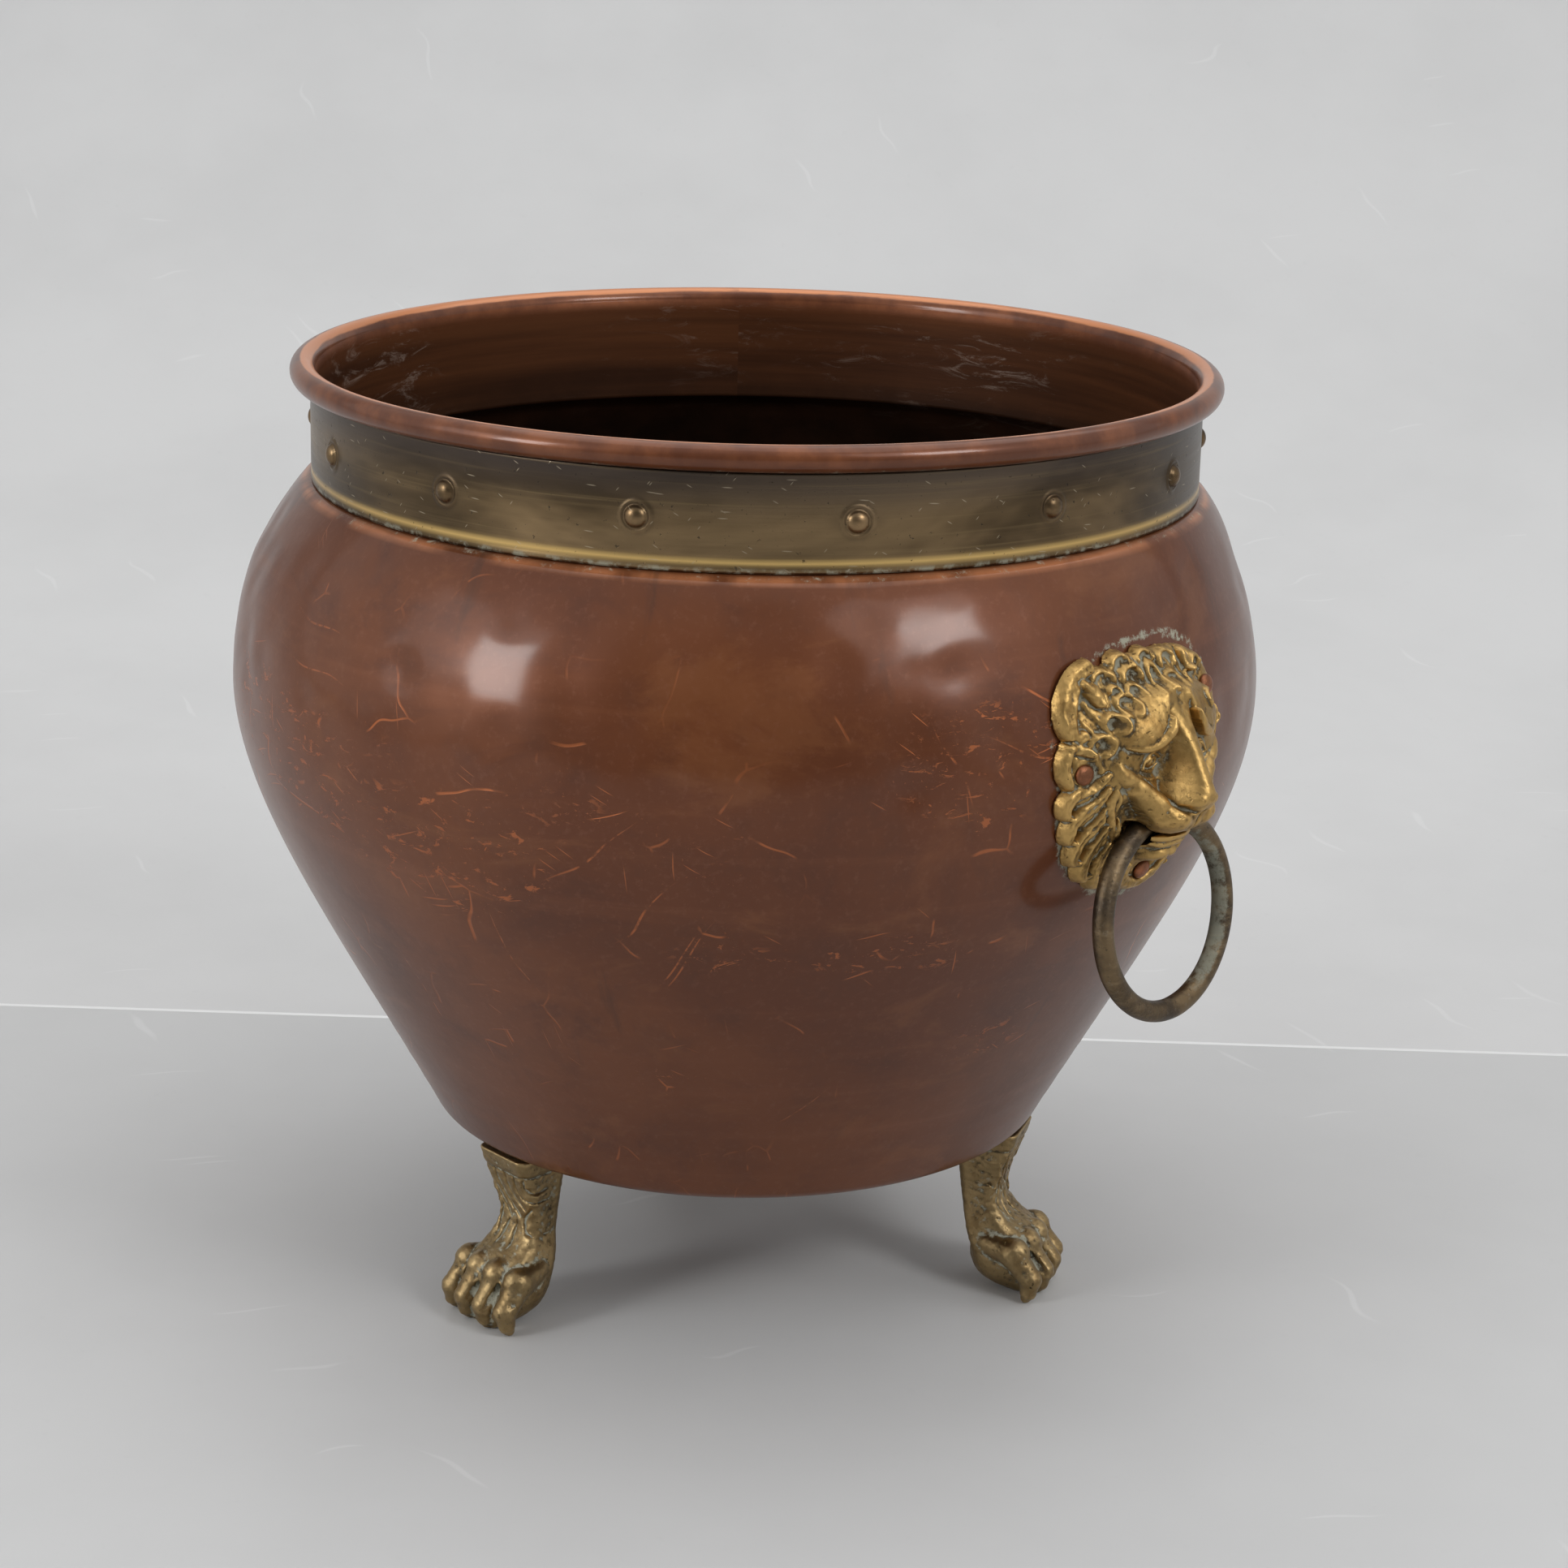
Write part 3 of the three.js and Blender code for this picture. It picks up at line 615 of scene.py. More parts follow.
def cheeks_and_muzzle(face, near_side, z):
    # Cheek ridge from beside the eye down to the muzzle, steep on its lower side.
    ridge = crest(near_side, z, [
        (25.4, 157.6, 1.6, 6.8), (22.0, 153.8, 2.6, 9.0), (18.2, 150.0, 3.3, 10.8),
        (14.6, 146.4, 3.7, 12.6), (11.4, 142.8, 4.0, 15.0), (9.2, 139.6, 4.0, 16.6)], 3.6)
    face = soft_max(face, ridge, 1.4)
    muzzle = 5.0 + 14.6 * dome(near_side, z, (5.8, 138.8), (8.8, 6.4), 0.35, 0.5)
    face = soft_max(face, muzzle, 0.9)
    # Jaw side: a spoon-shaped hollow above the corner of the mouth, with a thin raised edge.
    face -= 3.9 * hill(near_side, z, (19.0, 141.2), (3.9, 4.2), 0.35)
    face -= 2.6 * hill(near_side, z, (16.0, 138.4), (2.6, 2.6))
    face -= 1.3 * hill(near_side, z, (21.6, 149.0), (3.4, 1.5), -0.75)
    jaw_edge = crest(near_side, z, [(26.4, 152.2, 0.9, 6.2), (23.4, 147.0, 1.3, 7.8), (23.4, 141.6, 1.3, 7.8),
                                    (21.0, 136.6, 1.0, 6.8)], 1.4)
    return soft_max(face, jaw_edge, 0.4)


def nose_and_mouth(face, near_side, z):
    # Nose: pad, wings, nostrils, the groove below it, whisker pits.
    face += 0.8 * dome(near_side, z, (4.9, 145.4), (2.8, 2.4), 0, 0.7)
    face -= 2.1 * hill(near_side, z, (5.2, 142.4), (1.7, 0.9), 0.3)
    face -= np.exp(-(near_side / 0.6) ** 2) * smooth_step(z, 134.5, 136.5) * smooth_step(-z, -143.5, -141)
    side_crease = stroke(near_side, z, [(7.4, 149.6, 0.6), (8.4, 146.0, 0.9), (7.4, 142.9, 0.9),
                                        (2.6, 141.2, 0.7)])
    face -= 1.0 * np.clip(1 - side_crease**2, 0, 1)
    for across, up in [(6.6, 139.4), (9.0, 140.4), (11.2, 141.8), (7.6, 137.2), (10.2, 138.2), (12.4, 139.4)]:
        face -= 0.4 * np.exp(-(((near_side - across) ** 2 + (z - up) ** 2) / 0.3))
    # Mouth: a dark line under the upper lip, two thin lower lips and a round chin.
    mouth = stroke(near_side, z, [(0, 133.1, 0.7), (4.5, 132.8, 0.7), (8.6, 133.3, 0.9), (12.0, 134.4, 1.1)])
    face -= 2.0 * np.clip(1 - mouth**2, 0, 1) ** 0.7
    lips = [[(0, 131.3, 1.2, 14.0), (5, 131.3, 1.2, 13.2), (10.0, 131.9, 0.9, 10.4)],
            [(0, 128.8, 1.1, 13.0), (5, 129.0, 1.1, 12.1), (9.0, 130.0, 0.8, 9.6)]]
    for line in lips:
        face = soft_max(face, crest(near_side, z, line, 1.2), 0.3)
    chin = 4.4 + 7.6 * dome(near_side, z, (1.6, 125.2), (6.2, 3.4), 0, 0.5)
    face = soft_max(face, chin, 0.6)
    return face


def add_curls(total, edge, u, z):
    """Curls lie over the edge of the face: an arch each, with a pitted hollow under it."""
    for across, up, wide, high, closes, pit in CURLS:
        a, b = (u - across) / wide, (z - up) / high
        reach = np.hypot(a, b)
        from_top = np.degrees(np.abs(np.arctan2(a, b)))
        share = smooth_step(-from_top, -closes - 25, -closes + 20)
        arch = np.exp(-((reach - 0.80) / 0.24) ** 2) * share
        lobe = np.clip(1 - (reach / 1.05) ** 4, 0, 1) * smooth_step(b, -1.0, 0.4)
        total = soft_max(total, total + 0.6 * lobe + 1.5 * arch - 0.2, 0.35)
        total = total - 0.85 * pit * np.exp(-(reach / 0.50) ** 4)
        edge = np.minimum(edge, (reach - 0.98) * min(wide, high))
    return total, edge


def mask_relief(u, z):
    """Rise of the lion above the wall, and the signed distance to its outline."""
    mane, edge = mane_relief(u, z, inside_outline(u, z, MASK_OUTLINE) + 0.9)
    # Face: a broad swelling, the nose and forehead on it, then the features of both halves.
    near_side = np.abs(u)
    face = 4.6 + 5.4 * dome(u, z, (0, 154), (27, 28), 0, 0.5)
    profile = spline(NOSE_LINE, 6)
    nose = np.interp(z, profile[:, 0], profile[:, 1])
    width = np.interp(z, NOSE_WIDTH[:, 0], NOSE_WIDTH[:, 1])
    face = soft_max(face, nose * np.exp(-(near_side / width) ** 3.0), 1.6)
    for features in (brows_and_eyes, cheeks_and_muzzle, nose_and_mouth):
        face = features(face, near_side, z)
    face += 0.05 * grain(u, z, 0.0, 2.0, 15) + 0.05 * grain(u, z, 0.0, 4.5, 16)
    head = smooth_step(-inside_outline(near_side, z, HEAD_OUTLINE), -1.6, 1.6)
    total, edge = add_curls(mane * (1 - head) + np.maximum(face, 3.0) * head, edge, u, z)
    # Seats of the rivets, and the mouth corners where the ring goes in.
    for across, up in RIVET_PLACES.values():
        away = np.hypot(u - across, z - up)
        pocket = smooth_step(away, 3.5, 5.4)
        total = 3.4 * (1 - pocket) + total * pocket
        edge = np.minimum(edge, away - 5.2)
    hole = dome(near_side, z, (14.8, 133.2), (4.4, 4.6), 0, 1.0)
    total = total - (total - 0.4) * smooth_step(hole, 0.0, 0.4)
    return total, edge


HEAD_OUTLINE = spline([
    (-6, 177.6), (6, 177.6), (14.6, 176.4), (22.6, 172.6), (25.4, 166.4), (24.2, 160.6), (25.4, 155.4),
    (24.4, 148.6), (21.8, 142.2), (18.6, 136.4), (12.6, 131.8), (10.2, 127.6), (6.4, 122.6), (0, 121.0),
    (-8, 122.6), (-9, 150)], 5, closed=True)


def ring_distance(x, y, z, swing, tube):
    """Distance to the ring swung out by an angle from its lean."""
    turn = RING["lean"] + swing
    out, down = x - HINGE[0], z - HINGE[1]
    across_ring = out * math.cos(turn) + down * math.sin(turn)
    along_ring = -out * math.sin(turn) + down * math.cos(turn) + RING["drop"]
    return np.hypot(np.hypot(y, along_ring) - RING["radius"], across_ring) - tube


def mask_field(x, y, z):
    u, up = np.meshgrid(y.ravel(), z.ravel(), indexing="ij")
    rise, edge = mask_relief(u, up)
    wall = wall_out(u, up) + GAP
    roll = np.clip(-edge / 2.2, 0, 1)
    front = wall + 0.5 + (rise - 0.5) * np.sqrt(np.clip(1 - (1 - roll) ** 2, 0, 1))
    nose = np.interp(up, NOSE_LINE[:, 0], NOSE_LINE[:, 1]) * np.exp(-(np.abs(u) / 8.5) ** 3)
    hollow = np.maximum(np.minimum(rise, 4.6) - 2.4, np.minimum(nose - 3.6, rise - 3.4))
    back = wall + np.maximum(hollow, 0.02) * smooth_step(-edge, 3.5, 5.5)
    value = np.maximum(x - front[None], back[None] - x)
    value = np.maximum(value, np.broadcast_to(edge[None], value.shape))
    hinge_bar = np.hypot(x - HINGE[0], z - HINGE[1]) - (RING["wire"] + 0.6)
    bar = np.maximum(hinge_bar, np.abs(y) - 17.5)
    value = np.maximum(value, -bar)
    for swing in (0, 0.28, 1.66):
        value = np.maximum(value, -ring_distance(x, y, z, swing, RING["wire"] + 0.6))
    for across, height in RIVET_PLACES.values():
        value = np.maximum(value, -rivet_hole(x, y, z, across, height))
    return value


def wall_normal(across, up):
    radius = wall_radius(up)
    slope = wall_radius(up + 0.5) - wall_radius(up - 0.5)
    turn = math.asin(across / radius)
    normal = np.array([math.cos(turn), math.sin(turn), -slope])
    return np.array([radius * math.cos(turn), across, up]), normal / np.linalg.norm(normal)


def rivet_hole(x, y, z, across, up):
    foot, normal = wall_normal(across, up)
    d = [x - foot[0], y - foot[1], z - foot[2]]
    along = d[0] * normal[0] + d[1] * normal[1] + d[2] * normal[2]
    away = np.sqrt(np.maximum(d[0] ** 2 + d[1] ** 2 + d[2] ** 2 - along**2, 0))
    return np.maximum(away - 1.9, along - 8)


def lion_masks():
    step = 0.4
    points, faces = grow(mask_field, (162.0, -45, 106.5), (194.5, 38, 192), step)
    points[:, 0] = np.minimum(points[:, 0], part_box("lion_mask_right")[1].x / MM)
    hollows = {"fine": hollowness(points, faces, 6), "broad": hollowness(points, faces, 60)}
    things = []
    for side, turn in SIDES.items():
        placed = rotated(points, turn) + (0, 0, FOOT_HEIGHT)
        thing = make_mesh(f"lion_{side}", placed, faces, hollows)
        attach(thing, "pot")
        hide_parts(f"lion_mask_{side}")
        things.append(thing)
    return things


# ------------------------------------------------------------------ rings and rivets
def ring_wire(a):
    """Half thickness of a ring at an angle round it: a little uneven, and worn thin in the mouth."""
    worn = np.exp(-((a - math.pi / 2) / 0.25) ** 2)
    return RING["wire"] - 0.05 - 0.12 * np.abs(np.sin(a * 2.5 + 0.4)) - 0.25 * worn


def drop_rings():
    around, section = np.radians(np.arange(0, 360, 1.5)), np.radians(np.arange(0, 360, 15))
    a, s = np.meshgrid(around, section, indexing="ij")
    wire = ring_wire(a)
    reach = RING["radius"] + wire * np.cos(s)
    across, along, out = reach * np.cos(a), reach * np.sin(a) - RING["drop"], wire * np.sin(s)
    c, s_lean = math.cos(RING["lean"]), math.sin(RING["lean"])
    hung = np.stack([HINGE[0] + out * c - along * s_lean, across,
                     HINGE[1] + out * s_lean + along * c + FOOT_HEIGHT], axis=2)
    residue = {"inward": smooth_step(-np.cos(s), -0.1, 0.7), "far": smooth_step(np.cos(a), -0.2, 0.8)}
    things = []
    for side, turn in SIDES.items():
        points = rotated(hung, turn)
        thing = make_mesh(f"drop_ring_{side}", points.reshape(-1, 3), loft(points, True)[:, ::-1], residue)
        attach(thing, f"{side}_ring")
        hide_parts(f"ring_{side}")
        things.append(thing)
    return things


def turned_pin(name, profile, foot, normal, flat=0.0, slot=None):
    """A small turned piece that stands on foot with its axis along normal."""
    points = turned(np.array(profile, float), np.radians(np.arange(0, 360, 10)))
    points[..., 0] *= 1 - flat
    points[..., 1] *= 1 + flat
    if slot is not None:
        head_top, width, depth = slot
        cut = (np.abs(points[..., 1]) < width) & (points[..., 2] > head_top)
        points[..., 2] = np.where(cut, points[..., 2] - depth, points[..., 2])
    to_normal = np.array(Vector((0, 0, 1)).rotation_difference(Vector(normal)).to_matrix())
    thing = make_mesh(name, points.reshape(-1, 3) @ to_normal.T + np.array(foot), loft(points, False))
    close_ends(thing)
    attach(thing, "pot")
    return thing


def close_ends(thing):
    work = bmesh.new()
    work.from_mesh(thing.data)
    bmesh.ops.holes_fill(work, edges=[e for e in work.edges if e.is_boundary], sides=0)
    bmesh.ops.recalc_face_normals(work, faces=work.faces)
    for face in work.faces:
        face.smooth = True
    work.to_mesh(thing.data)
    work.free()


def mask_rivets():
    head = [(3.3, 3.72), (3.3, 4.15), (3.05, 4.75), (2.45, 5.22), (1.7, 5.48), (0.9, 5.58), (0.12, 5.6)]
    tail = [(0.12, -3.38), (1.3, -3.25), (2.3, -2.85), (2.85, -2.3), (2.9, -2.02), (1.6, -2.0)]
    things = []
    for side, turn in SIDES.items():
        for where, place in RIVET_PLACES.items():
            foot, normal = (rotated(vector, turn) for vector in wall_normal(*place))
            foot += (0, 0, FOOT_HEIGHT)
            thing = turned_pin(f"rivet_{side}_{where}", tail + [(1.6, 3.7)] + head, foot, normal, 0.03)
            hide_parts(f"mask_rivet_{side}_{where}")
            things.append(thing)
    return things


# ------------------------------------------------------------------ paw feet
# Drawn pointing along +X, with heights from the floor.
LEG_BACK = [(82, 66), (81.8, 52), (82.6, 42), (83.6, 33), (85.4, 25), (88.4, 16.5), (92.6, 9), (98.2, 3.2),
            (104, 0.2)]
LEG_FRONT = [(111, 0), (112.5, 6), (110.5, 14), (106.2, 20.6), (100.6, 25.6), (97.6, 29.8), (96.6, 34.0),
             (97.2, 38.8), (99.0, 44.4), (101.4, 51), (103.2, 57.6), (104.6, 66)]
LEG_SIDE = np.vstack([spline(LEG_BACK, 5), spline(LEG_FRONT, 5)])
# Half the leg's width against height.
LEG_HALF = np.array([(0, 9.5), (8, 12.0), (16, 12.8), (24, 11.6), (30, 10.2), (36, 10.0), (44, 10.8),
                     (52, 11.6), (60, 12.2), (70, 12.4)])
LEG_ROUNDING = 3.6
TOES = (-13.2, -4.6, 4.4, 13.0)
# Grooves of the fur on the leg's front: lines of (across, height, half width).
FUR = [
    [(-9, 50, 0.5), (-7.5, 44, 0.9), (-4.5, 38, 0.7), (-1.5, 33.5, 0.4)],
    [(-4.5, 51, 0.5), (-4, 45, 0.9), (-1, 39, 0.8), (3.2, 35, 0.4)],
    [(0.5, 51, 0.5), (0.5, 46, 0.9), (2.8, 41, 0.8), (6.5, 38, 0.4)],
    [(5.5, 51, 0.5), (4.8, 46.5, 0.8), (6.5, 43, 0.7), (9.8, 41.5, 0.4)],
    [(9.5, 50.5, 0.4), (9, 47, 0.7), (10.5, 45, 0.5), (12, 44.6, 0.3)],
    [(8.8, 39, 0.4), (5.6, 34.5, 0.8), (6.6, 30.5, 0.8), (9, 29.5, 0.4)],
    [(-8, 41, 0.4), (-6.4, 36, 0.8), (-7.2, 31, 0.7), (-6, 27.5, 0.4)],
    [(-2.4, 32.5, 0.4), (-3.4, 29, 0.7), (-3.8, 25, 0.5)],
    [(1.6, 33, 0.4), (1.4, 28.6, 0.7), (2.8, 25, 0.5)],
    [(-11.5, 47, 0.3), (-10.4, 42, 0.6), (-9.2, 37.5, 0.3)],
]


def leg_field(x, y, z):
    """The leg from its side outline and width, with grooved fur and a collar on its front."""
    side = inside_outline(*np.meshgrid(x.ravel(), z.ravel(), indexing="ij"), LEG_SIDE)[:, None, :]
    half = np.interp(z, LEG_HALF[:, 0], LEG_HALF[:, 1])
    narrow = half - 1.4 * (1 - smooth_step(x, 86, 97)) * smooth_step(z, 18, 30)
    a, b = side + LEG_ROUNDING, np.abs(y) - narrow + LEG_ROUNDING
    leg = np.hypot(np.maximum(a, 0), np.maximum(b, 0)) + np.minimum(np.maximum(a, b), 0) - LEG_ROUNDING
    groove = np.zeros(np.broadcast(y, z).shape)
    for line in FUR:
        near = stroke(y, z, line, 4)
        groove = np.maximum(groove, np.clip(1 - near**2, 0, 1))
        groove -= 0.35 * np.exp(-((near - 1.7) / 0.5) ** 2)
    front_face = smooth_step(x, 88.5, 93) * smooth_step(z, 22, 27) * smooth_step(-z, -53, -50)
    on_front = smooth_step(x, 86, 90)
    collar = 0.15 * smooth_step(z, 52.0, 52.8) - 0.45 * np.exp(-((z - 51.4) / 0.5) ** 2)
    return leg + groove * front_face - collar * on_front, front_face


def toe_field(x, y, z, at):
    """A toe with its root, knuckle, last joint and nail; the outer two are set back a little."""
    lean = 0.0 if abs(at) < 8 else 1.0
    root = (95.5, 0.78 * at, 19.0 - 1.2 * lean)
    knuckle = (105.8 - 1.6 * lean, at, 17.2 - 0.8 * lean)
    last = (113.0 - 1.8 * lean, 1.08 * at, 8.4)
    tip = (112.4 - 1.6 * lean, 1.12 * at, 4.0)
    claw = (111.6 - 1.6 * lean, 1.13 * at, 2.0)
    toe = capsule(x, y, z, root, knuckle, 4.2, 4.7)
    toe = soft_min(toe, ball(x, y, z, (knuckle[0] + 0.8, at, knuckle[2] + 0.4), (5.3, 4.6, 5.0)), 1.2)
    toe = soft_min(toe, capsule(x, y, z, knuckle, last, 4.4, 3.9), 1.0)
    toe = soft_min(toe, capsule(x, y, z, last, tip, 3.7, 2.9), 0.6)
    nail = capsule(x, y, z, tip, claw, 2.5, 1.9)
    toe = soft_min(toe, nail, 0.35)
    crease = np.exp(-((x - last[0] + 1) ** 2 + (z - 11.6) ** 2) / 2.2)
    return toe + 0.5 * crease * (np.abs(y - 1.05 * at) < 4)


def foot_field(x, y, z):
    leg, front_face = leg_field(x, y, z)
    paw = ball(x, y, z, (99.0, 0, 12.4), (12.6, 13.8, 12.0))
    flesh = soft_min(leg, paw, 3.0)
    for at in TOES:
        flesh = soft_min(flesh, toe_field(x, y, z, at), 0.8)
    for left, right in zip(TOES[:-1], TOES[1:]):
        middle = 0.5 * (left + right)
        cleft = capsule(x, y, z, (100.5, 0.85 * middle, 23.0), (118.5, 1.1 * middle, 6.0), 0.7, 1.9)
        flesh = soft_max(flesh, -cleft, 0.8)
    flesh = flesh + 0.16 * grain(x, y, z, 3.4, 21) * smooth_step(z, 20, 30) * front_face
    flesh = flesh + 0.07 * grain(x, y, z, 2.2, 22)
    radius = np.hypot(x, y)
    pot = np.maximum(FOOT_HEIGHT - GAP - z, radius - wall_radius(np.maximum(z - FOOT_HEIGHT, 3.2)) - GAP)
    flesh = np.maximum(flesh, -pot)
    flesh = np.maximum(flesh, 0.05 - z)
    for across in (-SCREW_ACROSS, SCREW_ACROSS):
        hole = np.maximum(np.hypot(x - SCREW_RADIUS, y - across) - 2.3, 43.7 - z)
        flesh = np.maximum(flesh, -hole)
    return flesh


SCREW_PROFILE = [(0.1, -14), (1.4, -13.4), (2.0, -12.4), (2.0, 1.4), (4.2, 1.42), (4.2, 1.9), (3.9, 2.6),
                 (3.2, 3.2), (2.2, 3.5), (1.0, 3.58), (0.1, 3.6)]
SCREW_SLOT = (2.0, 0.55, 0.9)                         # cuts what is above, half width, depth


def paw_feet():
    step = 0.45
    points, faces = grow(foot_field, (78, -21, -1.2), (122, 21, 67), step)
    hollows = {"fine": hollowness(points, faces, 5), "broad": 0.8 * hollowness(points, faces, 45)}
    things = []
    for name, degrees in FOOT_ANGLES.items():
        turn = math.radians(degrees)
        thing = make_mesh(f"foot_{name}", rotated(points, turn), faces, hollows)
        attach(thing, "pot")
        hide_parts(f"paw_foot_{name}")
        things.append(thing)
        for k, across in enumerate((-SCREW_ACROSS, SCREW_ACROSS), 1):
            spot = rotated((SCREW_RADIUS, across, FOOT_HEIGHT), turn)
            screw = turned_pin(f"screw_{name}_{k}", SCREW_PROFILE, spot, (0, 0, 1), 0, SCREW_SLOT)
            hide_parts(f"foot_screw_{name}_{k}")
            things.append(screw)
    return things


# ------------------------------------------------------------------ materials
class Nodes:
    """Short calls that add nodes to one material and return their output sockets."""

    def __init__(self, name):
        self.material = bpy.data.materials.new(name)
        self.material.use_nodes = True
        self.tree = self.material.node_tree
        self.shader = self.tree.nodes["Principled BSDF"]

    def add(self, kind, **settings):
        node = self.tree.nodes.new(kind)
        for key, value in settings.items():
            setattr(node, key, value)
        return node

    def feed(self, socket, value):
        if isinstance(value, bpy.types.NodeSocket):
            self.tree.links.new(value, socket)
        else:
            socket.default_value = value

    def attribute(self, name):
        return self.add("ShaderNodeAttribute", attribute_name=name).outputs["Fac"]

    def place(self):
        return self.add("ShaderNodeTexCoord").outputs["Object"]

    def scaled(self, vector, scale, turn=(0, 0, 0), move=(0, 0, 0)):
        node = self.add("ShaderNodeMapping")
        self.feed(node.inputs["Vector"], vector)
        for key, value in (("Scale", scale), ("Rotation", turn), ("Location", move)):
            node.inputs[key].default_value = value
        return node.outputs[0]

    def noise(self, vector, scale, detail=4.0, rough=0.5, distortion=0.0):
        node = self.add("ShaderNodeTexNoise")
        self.feed(node.inputs["Vector"], vector)
        for key, value in (("Scale", scale), ("Detail", detail), ("Roughness", rough),
                           ("Distortion", distortion)):
            node.inputs[key].default_value = value
        return node.outputs["Fac"]

    def math(self, operation, a, b=0.0, c=0.0):
        node = self.add("ShaderNodeMath", operation=operation)
        for socket, value in zip(node.inputs, (a, b, c)):
            self.feed(socket, value)
        return node.outputs[0]

    def step(self, value, low, high, out_low=0.0, out_high=1.0):
        node = self.add("ShaderNodeMapRange", interpolation_type="SMOOTHSTEP")
        for key, v in (("Value", value), ("From Min", low), ("From Max", high), ("To Min", out_low),
                       ("To Max", out_high)):
            self.feed(node.inputs[key], v)
        return node.outputs[0]

    def mix(self, share, a, b):
        node = self.add("ShaderNodeMix", data_type="RGBA")
        self.feed(node.inputs[0], share)
        self.feed(node.inputs[6], a if isinstance(a, bpy.types.NodeSocket) else (*a, 1))
        self.feed(node.inputs[7], b if isinstance(b, bpy.types.NodeSocket) else (*b, 1))
        return node.outputs[2]

    def blend(self, share, a, b):
        node = self.add("ShaderNodeMix", data_type="FLOAT")
        for socket, value in zip((node.inputs[0], node.inputs[2], node.inputs[3]), (share, a, b)):
            self.feed(socket, value)
        return node.outputs[0]

    def joined(self, operation, values):
        total = values[0]
        for value in values[1:]:
            total = self.math(operation, total, value)
        return total

    def most(self, *values):
        return self.joined("MAXIMUM", values)

    def times(self, *values):
        return self.joined("MULTIPLY", values)

    def plus(self, *values):
        return self.joined("ADD", values)

    def less(self, a, b):
        return self.math("SUBTRACT", a, b)

    def without(self, mask):
        return self.math("SUBTRACT", 1.0, mask)

    def bump(self, height, distance, strength):
        node = self.add("ShaderNodeBump")
        for key, value in (("Strength", strength), ("Distance", distance), ("Height", height)):
            self.feed(node.inputs[key], value)
        return node.outputs[0]

    def wrap(self, turn_scale):
        """A flat place on the pot: way round (in metres at the belly), height, 0. It has a seam behind."""
        place = self.add("ShaderNodeSeparateXYZ")
        self.feed(place.inputs[0], self.place())
        angle = self.math("ARCTAN2", self.math("ADD", place.outputs[0], place.outputs[1]),
                          self.math("SUBTRACT", place.outputs[0], place.outputs[1]))
        around = self.math("MULTIPLY", angle, turn_scale)
        joined = self.add("ShaderNodeCombineXYZ")
        self.feed(joined.inputs[0], around)
        self.feed(joined.inputs[1], place.outputs[2])
        return joined.outputs[0]

    def wandering(self, flat, scale, detail, warp):
        """A place pushed about by noise, so that marks drawn on it wander."""
        noise = self.add("ShaderNodeTexNoise")
        moved = self.add("ShaderNodeVectorMath", operation="MULTIPLY_ADD")
        for socket, value in ((noise.inputs["Vector"], flat), (noise.inputs["Scale"], scale),
                              (noise.inputs["Detail"], detail), (moved.inputs[0], noise.outputs["Color"]),
                              (moved.inputs[1], (warp, warp, warp)), (moved.inputs[2], flat)):
            self.feed(socket, value)
        return moved.outputs[0]

    def scratches(self, flat, sets, seed):
        """Sparse thin marks: stretched cells, each with one spindle, a share of them kept.
        Each set is a direction in degrees, length, width, share and how far the marks wander."""
        marks = []
        for turn, long, short, share, warp in sets:
            bent = self.wandering(flat, 22.0, 1.0, warp)
            bent = self.scaled(bent, (1, 1, 1), turn=(0, 0, math.radians(turn)))
            spot = self.scaled(bent, (1 / long, 1 / short, 1), move=(seed * 3.7, seed * 1.9, seed))
            cell = self.add("ShaderNodeTexVoronoi", voronoi_dimensions="2D")
            self.feed(cell.inputs["Vector"], spot)
            cell.inputs["Scale"].default_value = 1.0
            line = self.step(cell.outputs["Distance"], 0.10, 0.04)
            colour = self.add("ShaderNodeSeparateColor")
            self.feed(colour.inputs[0], cell.outputs["Color"])
            marks.append(self.times(line, self.math("GREATER_THAN", colour.outputs[0], 1 - share)))
            seed += 1.0
        return self.most(*marks)

    def hairlines(self, flat, scale, width, warp):
        """Thin wandering lines along the borders of cells."""
        cell = self.add("ShaderNodeTexVoronoi", voronoi_dimensions="2D", feature="DISTANCE_TO_EDGE")
        self.feed(cell.inputs["Vector"], self.wandering(flat, 30.0, 2.0, warp))
        cell.inputs["Scale"].default_value = scale
        return self.step(cell.outputs["Distance"], width, width * 0.3)

    def finish(self, colour, metallic, roughness, normal=None, coat=0.0, coat_roughness=0.1):
        self.feed(self.shader.inputs["Base Color"], colour if isinstance(colour, bpy.types.NodeSocket)
                  else (*colour, 1))
        self.feed(self.shader.inputs["Metallic"], metallic)
        self.feed(self.shader.inputs["Roughness"], roughness)
        self.shader.inputs["Specular IOR Level"].default_value = 0.15
        self.feed(self.shader.inputs["Coat Weight"], coat)
        self.shader.inputs["Coat Roughness"].default_value = coat_roughness
        if normal is not None:
            self.feed(self.shader.inputs["Normal"], normal)
        return self.material


